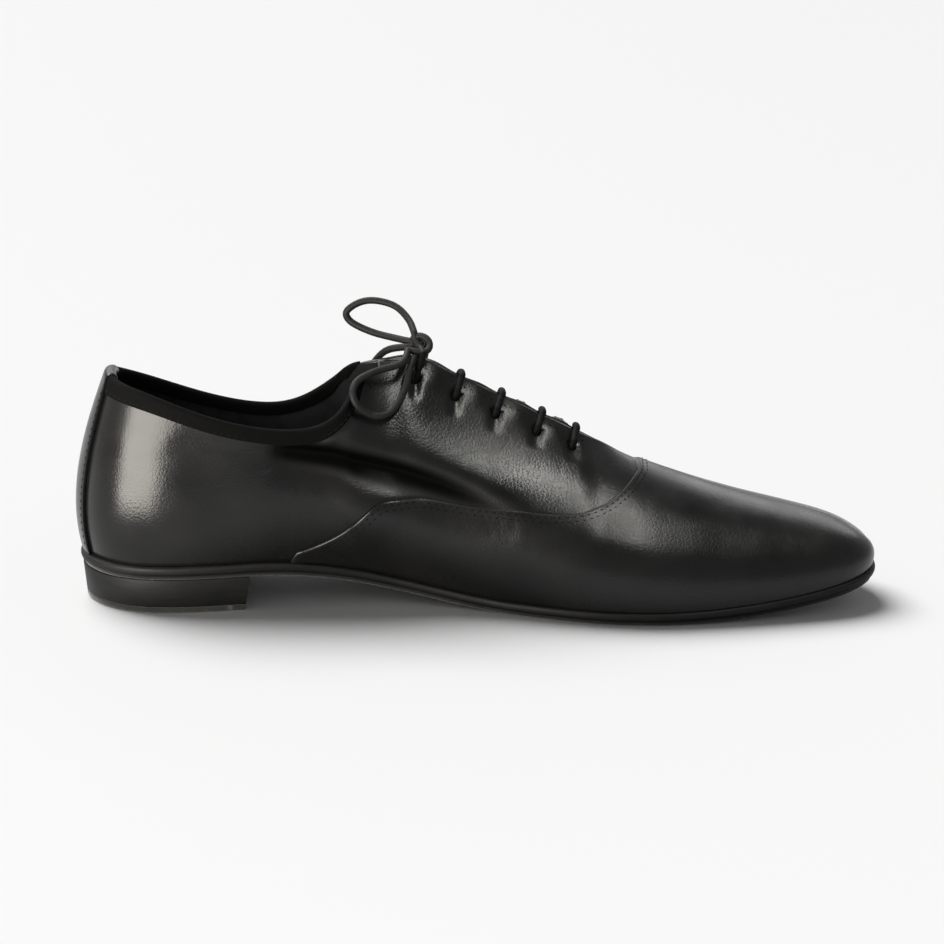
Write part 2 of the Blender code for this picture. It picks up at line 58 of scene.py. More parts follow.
# the last: same sizes as the solids, in mm from the back of the sole
last = {
    "length": 292.0,
    "heelToOrigin": 30.0,
    "heelLength": 62.0,
    "heelHeight": 12.6,
    "suede": 1.3,
    "board": 3.0,
    "gap": 0.3,
    "toeSpring": 10.0,
    "toePower": 1.9,
    "treadStart": 158.0,
    "treadEnd": 204.0,
    "upperInset": 2.0,
    "facingStart": 6,  # rows of the walls below
    "throatEnd": 12 + 1 / 3,
    "leastGap": 0.7,
    "ridgeRows": 1.2,  # rows over which the wall's top turns to follow the ridge
    "shortestLap": 0.09,
    # inner and outer edge of the sole at equal turns of the station angle, heel to toe
    "outline": [
        (0.0, 0.0), (17.6, 17.9), (29.6, 29.4), (31.2, 31.8), (25.6, 31.0), (22.2, 35.0), (33.4, 49.6),
        (49.4, 49.6), (51.6, 41.5), (47.2, 32.0), (40.8, 19.5), (30.5, 5.2), (14.5, -14.5),
    ],
    "columns": "foot topX topM topL ridge halfGap leanM leanL footPull topSlope topPull seam".split(),
    "walls": [
        (0, 10.6, 81.8, 81.8, 0.0, 0.0, 16, 16, 0.33, 70, 0.34, 0.0),  # back of the heel
        (7, 13.8, 80.0, 79.4, 0.0, 13.5, 16, 16, 0.33, 75, 0.34, 0.0),
        (25, 27.5, 76.2, 73.4, 0.0, 23.5, 16, 16, 0.33, 79, 0.34, 0.0),
        (48, 49, 69.0, 65.8, 0.3, 28.0, 18, 15, 0.33, 83, 0.34, 0.0),
        (70, 72, 65.2, 62.6, 0.8, 29.4, 26, 17, 0.34, 84, 0.34, 0.0),  # ankle
        (88, 87, 67.4, 68.2, 1.0, 28.4, 34, 20, 0.36, 78, 0.36, 0.22),
        (101, 95.5, 74.4, 75.6, 1.0, 24.0, 38, 24, 0.38, 66, 0.36, 0.38),
        (111, 102, 82.0, 82.0, 1.0, 14.2, 38, 26, 0.40, 52, 0.36, 0.41),
        (119, 112, 85.3, 85.6, 0.9, 7.0, 37, 27, 0.40, 44, 0.36, 0.40),
        (128, 122, 87.2, 87.2, 0.6, 2.8, 35, 27, 0.40, 40, 0.36, 0.40),  # top of the facings
        (142, 137, 80.8, 80.8, -0.2, 1.8, 31, 27, 0.40, 36, 0.38, 0.42),
        (161, 159, 70.7, 70.7, -1.6, 1.6, 26, 25, 0.42, 32, 0.40, 0.45),
        (183, 182, 60.1, 60.1, -3.4, 1.3, 20, 22, 0.42, 26, 0.42, 0.47),  # throat
        (201, 201, 52.0, 52.0, -5.0, 0.4, 17, 19, 0.42, 18, 0.44, 0.73),
        (219, 219, 45.2, 45.2, -6.5, 0.0, 14, 16, 0.42, 11, 0.46, 1.6),  # ball
        (243, 242, 38.0, 38.0, -9.0, 0.0, 13, 14, 0.42, 6, 0.48, 1.2),
        (265, 262, 33.0, 33.0, -11.2, 0.0, 13, 13, 0.42, 4, 0.50, 1.2),
        (282, 276.5, 28.8, 28.8, -13.2, 0.0, 14, 14, 0.42, 2, 0.50, 1.2),
        (292, 283, 25.6, 25.6, -14.2, 0.0, 16, 16, 0.42, 2, 0.50, 1.2),  # toe
    ],
}
lastRow = len(last["walls"]) - 1


def batten(controls, at):
    controls = np.asarray(controls)
    at = np.asarray(at, float)
    row = np.clip(at.astype(int), 0, len(controls) - 4)
    f = at - row
    parts = ((1 - f) ** 3, 3 * f**3 - 6 * f**2 + 4, 1 + 3 * f + 3 * f**2 - 3 * f**3, f**3)
    return sum(p * controls[row + i] for i, p in enumerate(parts)) / 6


def controlsThrough(values, turned=False):  # turned: the sign changes past both ends
    count = len(values)
    matrix = 4 * np.eye(count) + np.eye(count, k=1) + np.eye(count, k=-1)
    matrix[0, :2] = (6, 0) if turned else (4, 2)
    matrix[-1, -2:] = (0, 6) if turned else (2, 4)
    inside = np.linalg.solve(matrix / 6, values)
    if turned:
        return np.array([2 * inside[0] - inside[1], *inside, 2 * inside[-1] - inside[-2]])
    return np.array([inside[1], *inside, inside[-2]])


def controlsRound(values):
    count = len(values)
    matrix = 4 * np.eye(count) + np.roll(np.eye(count), 1, axis=1) + np.roll(np.eye(count), -1, axis=1)
    inside = np.linalg.solve(matrix / 6, values)
    return np.array([inside[-1], *inside, inside[0], inside[1]])


def stationAngle(x):
    return np.arccos(np.clip(1 - 2 * np.asarray(x, float) / last["length"], -1, 1))


outlineSteps = len(last["outline"]) - 1
outlineControls = controlsRound([-m for m, _ in last["outline"]] + [o for _, o in last["outline"][-2:0:-1]])
given = {name: [w[nr] for w in last["walls"]] for nr, name in enumerate(last["columns"])}
wallColumns = {name: controlsThrough(values) for name, values in given.items()}
wallColumns["foot"] = controlsThrough(stationAngle(given["foot"]), turned=True)
wallColumns["halfGap"] = controlsThrough(given["halfGap"], turned=True)
seams = given["seam"]
wallColumns["seam"] = np.array([seams[1], *seams, seams[-2]])  # the curve passes near these values


def unit(v):
    return v / np.linalg.norm(v, axis=-1, keepdims=True)


def easeIn(x):
    x = np.clip(x, 0.0, 1.0)
    return x * x * (3 - 2 * x)


def lengthAlong(points):
    return np.concatenate([[0], np.cumsum(np.linalg.norm(np.diff(points, axis=0), axis=1))])


def pickAlong(steps, run, points):
    return np.stack([np.interp(steps, run, points[:, k]) for k in range(3)], -1)


def atHeight(flat, z):  # plan points lifted to a height
    return np.concatenate([flat, np.broadcast_to(z, flat.shape[:-1])[..., None]], -1)


def edgeAt(turn):  # 0 at the back of the heel, half a turn at the toe, inner side first
    y = batten(outlineControls, np.mod(turn, 2 * math.pi) / math.pi * outlineSteps)
    return np.stack([last["length"] / 2 * (1 - np.cos(turn)), y], -1)


def rim(turn, inset):  # the sole's edge set in by so many mm, and the way out from it
    step = 0.01
    along = edgeAt(turn + step) - edgeAt(turn - step)
    out = unit(np.stack([along[..., 1], -along[..., 0]], -1))
    return edgeAt(turn) - inset * out, out


def soleBottom(x):
    x = np.asarray(x, float)
    toe = np.clip((x - last["treadEnd"]) / (last["length"] - last["treadEnd"]), 0, 2)
    waist = np.clip((last["treadStart"] - x) / (last["treadStart"] - last["heelLength"]), 0, 1)
    return last["toeSpring"] * toe ** last["toePower"] + last["heelHeight"] * waist**2 * (3 - 2 * waist)


def soleTop(x):
    return soleBottom(x) + last["suede"] + last["gap"] + last["board"]


def sideAndRow(station):
    station = np.asarray(station, float)
    station = np.where(station > lastRow, station - 2 * lastRow, station)
    station = np.where(station < -lastRow, station + 2 * lastRow, station)
    return np.where(station >= 0, 1.0, -1.0), np.abs(station)


def topAt(row, side):
    gap = batten(wallColumns["halfGap"], row)
    gap = np.where(row >= last["facingStart"], np.maximum(gap, last["leastGap"]), gap)
    gap = gap * easeIn((last["throatEnd"] - row) * 3)  # the facings close softly at the throat
    y = batten(wallColumns["ridge"], row) - side * gap
    z = np.where(side > 0, batten(wallColumns["topM"], row), batten(wallColumns["topL"], row))
    return np.stack([batten(wallColumns["topX"], row), y, z], -1)


def wallCurve(station):
    side, row = sideAndRow(station)
    col = {name: batten(wallColumns[name], row) for name in last["columns"]}
    place, out = rim(side * col["foot"], last["upperInset"])
    foot = atHeight(place, soleTop(place[..., 0]) + last["gap"])
    out = atHeight(out, 0.0)
    top = topAt(row, side)
    reach = np.linalg.norm(top - foot, axis=-1, keepdims=True)
    lean = np.radians(np.where(side > 0, col["leanM"], col["leanL"]))[..., None]
    slope = np.radians(col["topSlope"])[..., None]
    up = np.array([0.0, 0.0, 1.0])
    step = 0.05
    along = topAt(np.minimum(row + step, lastRow), side) - topAt(row - step, side)
    onVamp = easeIn((row - last["throatEnd"]) / last["ridgeRows"])
    tilt = onVamp * out[..., 0] * along[..., 2] / along[..., 0]
    over = out + up * tilt[..., None]
    low = foot + reach * col["footPull"][..., None] * (np.sin(lean) * out + np.cos(lean) * up)
    high = top + reach * col["topPull"][..., None] * (np.cos(slope) * over - np.sin(slope) * up)
    return foot, low, high, top


def wallAt(station, share):
    foot, low, high, top = wallCurve(station)
    v = np.asarray(share, float)[..., None]
    return (1 - v) ** 3 * foot + 3 * (1 - v) ** 2 * v * low + 3 * (1 - v) * v**2 * high + v**3 * top


def wallNormal(station, share):
    station, share = np.broadcast_arrays(np.asarray(station, float), np.asarray(share, float))
    side, row = sideAndRow(station)
    step = 0.02
    along = wallAt(station + step, share) - wallAt(station - step, share)
    rise = wallAt(station, np.minimum(1.0, share + step)) - wallAt(station, np.maximum(0.0, share - step))
    normal = np.cross(along, rise)
    ridge = topAt(np.minimum(row + step, lastRow), 1.0) - topAt(row - step, 1.0)
    ridge = np.stack([-ridge[..., 2], np.zeros(row.shape), ridge[..., 0]], -1)
    onRidge = (share >= 1) & (row >= last["throatEnd"] - 1e-9)
    normal = np.where(onRidge[..., None], ridge, normal)
    flat = atHeight(rim(side * batten(wallColumns["foot"], row), last["upperInset"])[1], 0.0)
    return unit(np.where((share <= 0)[..., None], flat, normal))


def skinAt(station, share, out):
    return wallAt(station, share) + np.asarray(out, float)[..., None] * wallNormal(station, share)


def seamAt(station):
    share = batten(wallColumns["seam"], sideAndRow(station)[1])
    share = np.where(share < last["shortestLap"], 0.0, share)
    return np.where(share > 1 - last["shortestLap"], 1.0, share)


def toFrame(points):  # mm from the back of the sole to metres from the heel's middle
    points = np.asarray(points, float)
    return (points - np.array([last["heelToOrigin"], 0.0, 0.0])) * mm


# mesh helpers
def layMesh(
    name, points, faces, material, sharp, inFrame=False, weld=0.004, finish=None, paintedFoldShade=None, hard=None
):
    mesh = bpy.data.meshes.new(name)
    points = points if inFrame else toFrame(points)
    mesh.from_pydata([tuple(p) for p in points], [], faces)
    if finish:
        mesh.polygons.foreach_set("material_index", finish)
    if paintedFoldShade is not None:  # painted shade in the folds, for each point, read by the leather
        mesh.attributes.new("paintedFoldShade", "FLOAT", "POINT").data.foreach_set("value", paintedFoldShade)
    if hard is not None:  # points whose joining edges stay hard at any angle
        mesh.attributes.new("hard", "FLOAT", "POINT").data.foreach_set("value", hard)
    bm = bmesh.new()
    bm.from_mesh(mesh)
    if weld:
        bmesh.ops.remove_doubles(bm, verts=bm.verts, dist=weld * mm)
        bmesh.ops.dissolve_degenerate(bm, edges=bm.edges, dist=0.002 * mm)
    bmesh.ops.recalc_face_normals(bm, faces=bm.faces)
    bm.to_mesh(mesh)
    bm.free()
    mesh.shade_smooth()
    mesh.set_sharp_from_angle(angle=math.radians(sharp))
    if hard is not None:
        marked = np.zeros(len(mesh.vertices), np.float32)
        mesh.attributes["hard"].data.foreach_get("value", marked)
        for line in mesh.edges:
            line.use_edge_sharp |= bool(marked[list(line.vertices)].min() > 0.5)
        mesh.attributes.remove(mesh.attributes["hard"])
    for m in material if isinstance(material, list) else [material]:
        mesh.materials.append(m)
    obj = bpy.data.objects.new(name, mesh)
    bpy.context.scene.collection.objects.link(obj)
    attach(obj, "root")
    return obj


def gridFaces(rows, cols, closeRows=False, closeCols=False, start=0):
    faces = []
    for i in range(rows if closeRows else rows - 1):
        for j in range(cols if closeCols else cols - 1):
            a, b = (i + 1) % rows, (j + 1) % cols
            corners = ((i, j), (a, j), (a, b), (i, b))
            faces.append(tuple(start + r * cols + c for r, c in corners))
    return faces


def tubeFaces(rows, cols, start=0):  # closed rings of equal count, capped at both ends
    faces = gridFaces(rows, cols, closeCols=True, start=start)
    faces.append(tuple(start + j for j in range(cols)))
    faces.append(tuple(start + (rows - 1) * cols + j for j in reversed(range(cols))))
    return faces


def standFor(piece, node):
    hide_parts(node)
    return piece


def loftPiece(name, node, rings, material, sharp):
    rings = np.asarray(rings)
    piece = layMesh(name, rings.reshape(-1, 3), tubeFaces(*rings.shape[:2]), material, sharp)
    return standFor(piece, node)


# material helpers
def newMaterial(name, **sockets):
    material = bpy.data.materials.new(name)
    material.use_nodes = True
    shader = material.node_tree.nodes["Principled BSDF"]
    for key, value in sockets.items():
        shader.inputs[key.replace("_", " ")].default_value = value
    return material, material.node_tree, shader


def addNode(tree, kind, inputs=None, **settings):
    node = tree.nodes.new(kind)
    for key, value in settings.items():
        setattr(node, key, value)
    for key, value in (inputs or {}).items():
        if isinstance(value, bpy.types.NodeSocket):
            tree.links.new(value, node.inputs[key])
        else:
            node.inputs[key].default_value = value
    return node


def ramp(tree, source, stops):
    node = addNode(tree, "ShaderNodeValToRGB", {"Fac": source})
    while len(node.color_ramp.elements) < len(stops):
        node.color_ramp.elements.new(0.5)
    for element, (place, value) in zip(node.color_ramp.elements, stops):
        element.position = place
        colour = value if isinstance(value, tuple) else (value, value, value)
        element.color = (*colour, 1.0)
    return node.outputs["Color"]


def bumpChain(tree, shader, steps):  # steps: height socket, strength, depth in mm
    normal = None
    for height, strength, depth in steps:
        inputs = {"Height": height, "Strength": strength, "Distance": depth * mm}
        node = addNode(tree, "ShaderNodeBump", inputs)
        if normal is not None:
            tree.links.new(normal, node.inputs["Normal"])
        normal = node.outputs["Normal"]
    tree.links.new(normal, shader.inputs["Normal"])


def objectPlace(tree):
    return addNode(tree, "ShaderNodeTexCoord").outputs["Object"]


def noise(tree, place, scale, detail):
    inputs = {"Vector": place, "Scale": scale, "Detail": detail}
    return addNode(tree, "ShaderNodeTexNoise", inputs).outputs["Fac"]


def stretched(tree, place, scale):
    return addNode(tree, "ShaderNodeMapping", {"Vector": place, "Scale": scale}).outputs["Vector"]


def calc(tree, operation, a, b=0.0):
    return addNode(tree, "ShaderNodeMath", {0: a, 1: b}, operation=operation).outputs[0]


def splitPlace(tree, vector):
    return addNode(tree, "ShaderNodeSeparateXYZ", {"Vector": vector}).outputs


def blendColour(tree, amount, under, over):
    return addNode(tree, "ShaderNodeMix", {0: amount, 6: under, 7: (*over, 1.0)}, data_type="RGBA").outputs[2]


def spread(tree, value, low, high, start, end):
    limits = {"From Min": low, "From Max": high, "To Min": start, "To Max": end}
    return addNode(tree, "ShaderNodeMapRange", {"Value": value, **limits}).outputs[0]


# black calf: smooth satin with fine pores, faint cloudiness in the gloss
leatherLook = {
    "dark": (0.0026, 0.0026, 0.0027),
    "light": (0.0062, 0.0061, 0.0060),
    # painted shade: colour deep in a fold
    "paintedShadeInFold": (0.0006, 0.0006, 0.0006),
    "gloss": (0.19, 0.33),
    "foldGloss": 0.95,
    "foldShine": 0.06,  # painted shade: hardly any shine deep in a fold
    "shine": 0.28,
    "coat": 0.06,
    "poreMm": 0.55,
    "grainMm": 1.3,
    "poreDepth": 0.035,
    "grainDepth": 0.06,
    "softDepth": 0.42,
}


def makeLeather(name, look):
    material, tree, shader = newMaterial(
        name, Specular_IOR_Level=look["shine"], Coat_Weight=look["coat"], Coat_Roughness=0.28
    )
    place = objectPlace(tree)
    paintedFoldShade = addNode(tree, "ShaderNodeAttribute", attribute_name="paintedFoldShade").outputs["Fac"]
    cloud = noise(tree, place, 28.0, 4.0)
    soft = noise(tree, place, 75.0, 3.0)
    cells = {"Vector": place, "Scale": 1000 / look["grainMm"], "Randomness": 1.0}
    grain = addNode(tree, "ShaderNodeTexVoronoi", cells, feature="DISTANCE_TO_EDGE").outputs["Distance"]
    pores = noise(tree, place, 1000 / look["poreMm"], 2.0)
    hide = ramp(tree, cloud, [(0.3, look["dark"]), (0.75, look["light"])])
    # painted shade in the folds: darker colour and less shine where the fold shade attribute is high
    tree.links.new(blendColour(tree, paintedFoldShade, hide, look["paintedShadeInFold"]), shader.inputs["Base Color"])
    gloss = spread(tree, calc(tree, "ADD", cloud, soft), 0.7, 1.3, *look["gloss"])
    tint = ramp(tree, paintedFoldShade, [(0.0, 1.0), (1.0, look["foldShine"])])
    tree.links.new(tint, shader.inputs["Specular Tint"])
    gloss = addNode(tree, "ShaderNodeMix", {0: paintedFoldShade, 2: gloss, 3: look["foldGloss"]})
    tree.links.new(gloss.outputs[0], shader.inputs["Roughness"])
    creaseNet = ramp(tree, grain, [(0.0, 0.0), (0.25, 1.0)])
    bumpChain(tree, shader, [
        (soft, 0.35, look["softDepth"]),
        (creaseNet, 0.30, look["grainDepth"]),
        (pores, 0.45, look["poreDepth"]),
    ])
    return material


# brushed suede of the tread: matt nap, pale fibre specks, rubbed patches
suedeLook = {
    "dark": (0.0035, 0.0035, 0.0036),
    "light": (0.0110, 0.0108, 0.0105),
    "speck": (0.26, 0.25, 0.23),
    "speckMm": 2.6,
    "napMm": 0.35,
    "rubbed": (0.10, 0.085, 0.06),
    "rubZone": (0.004, 0.024),  # metres ahead of the heel's middle
}


def makeSuede(name, look, scuffed=False):
    material, tree, shader = newMaterial(
        name, Roughness=0.95, Specular_IOR_Level=0.18, Sheen_Weight=0.25, Sheen_Roughness=0.5
    )
    place = objectPlace(tree)
    patch = noise(tree, stretched(tree, place, (1.0, 0.35, 1.0)), 70.0, 6.0)
    nap = noise(tree, place, 1000 / look["napMm"], 3.0)
    cells = addNode(tree, "ShaderNodeTexVoronoi", {"Vector": place, "Scale": 1000 / look["speckMm"]})
    near = calc(tree, "LESS_THAN", cells.outputs["Distance"], 0.10)
    pick = addNode(tree, "ShaderNodeSeparateColor", {"Color": cells.outputs["Color"]}).outputs[0]
    speck = calc(tree, "MULTIPLY", near, calc(tree, "GREATER_THAN", pick, 0.62))
    facing = splitPlace(tree, addNode(tree, "ShaderNodeNewGeometry").outputs["Normal"])["Z"]
    speck = calc(tree, "MULTIPLY", speck, calc(tree, "LESS_THAN", facing, -0.6))  # on the tread alone
    colour = ramp(tree, patch, [(0.30, look["dark"]), (0.75, look["light"])])
    if scuffed:  # rubbed streaks across the lift, behind the breast of the heel
        rub = noise(tree, stretched(tree, place, (4.0, 0.5, 1.0)), 90.0, 5.0)
        zone = spread(tree, splitPlace(tree, place)["X"], *look["rubZone"], 0.0, 0.55)
        amount = calc(tree, "MULTIPLY", ramp(tree, rub, [(0.52, 0.0), (0.72, 1.0)]), zone)
        colour = blendColour(tree, amount, colour, look["rubbed"])
    tree.links.new(blendColour(tree, speck, colour, look["speck"]), shader.inputs["Base Color"])
    bumpChain(tree, shader, [(patch, 0.3, 0.4), (nap, 0.8, 0.25)])
    return material


# dyed and burnished edge of the sole and heel
edgeLook = {"dark": (0.0020, 0.0020, 0.0022), "light": (0.0055, 0.0055, 0.0058), "gloss": (0.50, 0.70)}


def makeEdge(name, look):
    material, tree, shader = newMaterial(name, Specular_IOR_Level=0.20, Coat_Weight=0.03, Coat_Roughness=0.40)
    place = objectPlace(tree)
    fibres = noise(tree, stretched(tree, place, (1.0, 1.0, 9.0)), 160.0, 6.0)
    cloud = noise(tree, place, 45.0, 3.0)
    dye = ramp(tree, fibres, [(0.3, look["dark"]), (0.8, look["light"])])
    tree.links.new(dye, shader.inputs["Base Color"])
    tree.links.new(spread(tree, cloud, 0.3, 0.7, *look["gloss"]), shader.inputs["Roughness"])
    bumpChain(tree, shader, [(cloud, 0.25, 0.5), (fibres, 0.3, 0.12)])
    return material


# black lining and sock: close woven cloth
liningLook = {"dark": (0.0040, 0.0041, 0.0047), "light": (0.0110, 0.0113, 0.0130), "threadMm": 0.7}


def makeLining(name, look):
    material, tree, shader = newMaterial(name, Roughness=0.86, Specular_IOR_Level=0.15, Sheen_Weight=0.04)
    place = objectPlace(tree)
    parts = splitPlace(tree, place)
    turnsPerMetre = 2 * math.pi * 1000 / look["threadMm"]
    waves = [calc(tree, "SINE", calc(tree, "MULTIPLY", parts[axis], turnsPerMetre)) for axis in ("X", "Z")]
    weave = calc(tree, "MULTIPLY", *waves)
    fuzz = noise(tree, place, 220.0, 5.0)
    cloth = ramp(tree, fuzz, [(0.25, look["dark"]), (0.8, look["light"])])
    tree.links.new(cloth, shader.inputs["Base Color"])
    bumpChain(tree, shader, [(weave, 0.35, 0.12), (fuzz, 0.3, 0.2)])
    return material


# waxed lace: black braid with a dull shine
laceLook = {"dark": (0.002, 0.002, 0.0022), "light": (0.009, 0.009, 0.009), "rough": 0.60, "shine": 0.22}
# painted shade: darker, duller lace for the bars and leads over the facings
shadedLaceLook = {"dark": (0.0006, 0.0006, 0.0007), "light": (0.0024,) * 3, "rough": 0.75, "shine": 0.08}
threadLook = {"dark": (0.0012,) * 3, "light": (0.004,) * 3, "rough": 0.80, "shine": 0.08}


def makeLace(name, look):
    material, tree, shader = newMaterial(
        name, Roughness=look["rough"], Specular_IOR_Level=look["shine"], Coat_Weight=0.03, Coat_Roughness=0.45
    )
    fuzz = noise(tree, objectPlace(tree), 900.0, 4.0)
    fibre = ramp(tree, fuzz, [(0.3, look["dark"]), (0.75, look["light"])])
    tree.links.new(fibre, shader.inputs["Base Color"])
    bumpChain(tree, shader, [(fuzz, 0.5, 0.12)])
    return material


calf = makeLeather("blackCalf", leatherLook)
bindingLook = {
    **leatherLook, "dark": (0.0009, 0.0009, 0.0010), "light": (0.0024, 0.0024, 0.0024),
    "gloss": (0.66, 0.80), "shine": 0.04, "coat": 0.0,
}
binding = makeLeather("boundEdge", bindingLook)
treadSuede = makeSuede("treadSuede", suedeLook)
liftSuede = makeSuede("liftSuede", suedeLook, scuffed=True)
dyedEdge = makeEdge("dyedEdge", edgeLook)
lining = makeLining("blackLining", liningLook)
laceCord = makeLace("waxedBraid", laceLook)
laceShaded = makeLace("waxedBraidShaded", shadedLaceLook)  # painted shade: the bars and leads over the facings get a darker, duller copy of the lace
thread = makeLace("sewingThread", threadLook)
print("materials ready")

# camera at the photo's viewpoint, turned to take in the whole shoe
cameraView = {
    "eye": (18.2, -875.9, 266.7),  # mm in the shoe's frame
    "aim": (113.0, 0.0, 44.0),
    "roll": 1.23,
    "lens": 94.0,
}
eye = Vector(cameraView["eye"]) * mm
aim = Vector(cameraView["aim"]) * mm
cameraData = bpy.data.cameras.new("photoCamera")
cameraData.sensor_width = 36.0
cameraData.lens = cameraView["lens"]
camera = bpy.data.objects.new("photoCamera", cameraData)
turnIn = (aim - eye).to_track_quat("-Z", "Y").to_matrix().to_4x4()
rolled = Matrix.Rotation(math.radians(cameraView["roll"]), 4, "Z")
camera.matrix_world = Matrix.Translation(eye) @ turnIn @ rolled
bpy.context.scene.collection.objects.link(camera)
bpy.context.scene.camera = camera

# lace: round braid, the bow's routes are those of the solids, in metres
lace = {
    "diameter": 0.0026,
    "sides": 12,
    "ringEvery": 0.0005,
    "braidEvery": 0.0024,
    "braidStrands": 4,
    "braidDepth": 0.00007,
    "tips": ((0.85, 0.35), (0.45, 0.62)),  # width and reach of the rounded ends, of the radius
    "barLift": 1.25,
    "eyeletShare": 0.90,
    "rows": [9.05, 10.05, 10.74, 11.37, 11.92],
    "upright": [
        (0.091, 0.0014, 0.0957), (0.0904, 0.0044, 0.0976), (0.0891, 0.008, 0.0999),
        (0.0858, 0.012, 0.103), (0.0812, 0.0146, 0.1047), (0.0762, 0.0164, 0.1051),
        (0.0715, 0.0176, 0.1039), (0.0678, 0.0182, 0.1013), (0.0672, 0.0184, 0.0991),
        (0.0688, 0.018, 0.0969), (0.0724, 0.016, 0.0951), (0.0774, 0.013, 0.0936),
        (0.0827, 0.009, 0.0929), (0.0876, 0.0044, 0.0926),
    ],
    "drooping": [
        (0.0884, -0.0038, 0.0906), (0.0854, -0.012, 0.0874), (0.0784, -0.0146, 0.0858),
        (0.0727, -0.0174, 0.0842), (0.0692, -0.0192, 0.0824), (0.0676, -0.0214, 0.0799),
        (0.0677, -0.0234, 0.077), (0.0699, -0.024, 0.0737), (0.0734, -0.0229, 0.0713),
        (0.0768, -0.0224, 0.0704), (0.0805, -0.0209, 0.0711), (0.0834, -0.0188, 0.0735),
        (0.0855, -0.0166, 0.0765), (0.0869, -0.0147, 0.0795), (0.0878, -0.0126, 0.0825),
        (0.0886, -0.0104, 0.0854), (0.0904, -0.0062, 0.088),
    ],
    "endBack": [(0.088, 0.0006, 0.0908), (0.0846, 0.004, 0.0898), (0.0812, 0.0076, 0.088)],
    "endLateral": [(0.0936, 0.0086, 0.0918), (0.096, 0.0094, 0.0894)],
    # where the two ends lie on the outer wall: station and share of the wall
    "backOnWall": [(-7.66, 0.975), (-7.56, 0.91), (-7.50, 0.84), (-7.47, 0.77), (-7.48, 0.70)],
    "lateralOnWall": [
        (-9.36, 0.90), (-9.42, 0.82), (-9.44, 0.74), (-9.42, 0.66), (-9.36, 0.58), (-9.28, 0.51),
    ],
    "endLift": 2.2,
    "leadLift": [(122.2, 7.9, 85.2), (123.2, 7.2, 87.6), (123.6, 6.0, 89.7)],
}


def smoothRoute(points, every):
    points = np.asarray(points, float)
    controls = [controlsThrough(points[:, k], turned=True) for k in range(3)]
    fine = np.linspace(0, len(points) - 1, len(points) * 40)
    dense = np.stack([batten(c, fine) for c in controls], -1)
    run = lengthAlong(dense)
    count = max(8, int(run[-1] / every))
    return pickAlong(np.linspace(0, run[-1], count), run, dense), run[-1]


def braidTube(points, radius=lace["diameter"] / 2):  # points in metres
    route, length = smoothRoute(points, lace["ringEvery"])
    along = unit(np.gradient(route, axis=0))
    side = unit(np.cross(along[0], (0.0, 0.0, 1.0)))
    turns = 2 * np.pi * np.arange(lace["sides"]) / lace["sides"]
    rings, walked = [], 0.0
    for i, centre in enumerate(route):
        side = unit(side - along[i] * np.dot(side, along[i]))
        other = np.cross(along[i], side)
        walked += 0.0 if i == 0 else np.linalg.norm(centre - route[i - 1])
        turn = 2 * np.pi * walked / lace["braidEvery"]
        crossing = lace["braidStrands"] / 2 * turns
        weave = np.cos(turn + crossing) * np.cos(turn - crossing)
        r = radius + lace["braidDepth"] * weave
        rings.append(centre + r[:, None] * (np.cos(turns)[:, None] * side + np.sin(turns)[:, None] * other))
    tips = []
    for ring, centre, way in ((rings[0], route[0], -along[0]), (rings[-1], route[-1], along[-1])):
        tips.append([centre + (ring - centre) * s + way * radius * h for s, h in lace["tips"]])
    return np.asarray([*tips[0][::-1], *rings, *tips[1]]), route, length


def layTubes(name, tubes, material):
    points, faces = [], []
    for rings in tubes:
        start = sum(len(p) for p in points)
        faces += tubeFaces(*rings.shape[:2], start)
        points.append(rings.reshape(-1, 3))
    return layMesh(name, np.concatenate(points), faces, material, sharp=75, inFrame=True, weld=0)


def layCord(name, node, points):
    rings, route, length = braidTube(points)
    cord = standFor(layTubes(name, [rings], laceCord), node)


layCord("laceLoopUpright", "lace_loop_upright", lace["upright"])
layCord("laceLoopDrooping", "lace_loop_drooping", lace["drooping"])
for end in ("Back", "Lateral"):
    lying = [toFrame(skinAt(s, v, lace["endLift"])) for s, v in lace[end.lower() + "OnWall"]]
    layCord("laceEnd" + end, "lace_end_" + end.lower(), lace["end" + end] + lying)


def laceUpWall(row):  # out of the eyelet and up to the lacing edge, in metres
    share, lift = lace["eyeletShare"], lace["barLift"]
    climb = [(share - 0.004, -2.2), (share, -0.5), (share + 0.008, 1.0), (share + 0.026, lift)]
    climb += [(v, lift) for v in np.linspace(share + 0.05, 1.0, 4)]
    return [toFrame(skinAt(row, v, out)) for v, out in climb]


for number, row in enumerate(lace["rows"][1:], 1):
    rings = braidTube(laceUpWall(row) + laceUpWall(-row)[::-1])[0]
    standFor(layTubes(f"laceBar{number}", [rings], laceShaded), f"lace_bar_{number}")
for side, node in ((1, "lace_lead_medial"), (-1, "lace_lead_lateral")):
    lift = [toFrame((x, -side * y, z)) for x, y, z in lace["leadLift"]]
    rings = braidTube(laceUpWall(side * lace["rows"][0])[:4] + lift)[0]
    name = "laceLead" + ("Inner" if side > 0 else "Outer")
    standFor(layTubes(name, [rings], laceShaded), node)

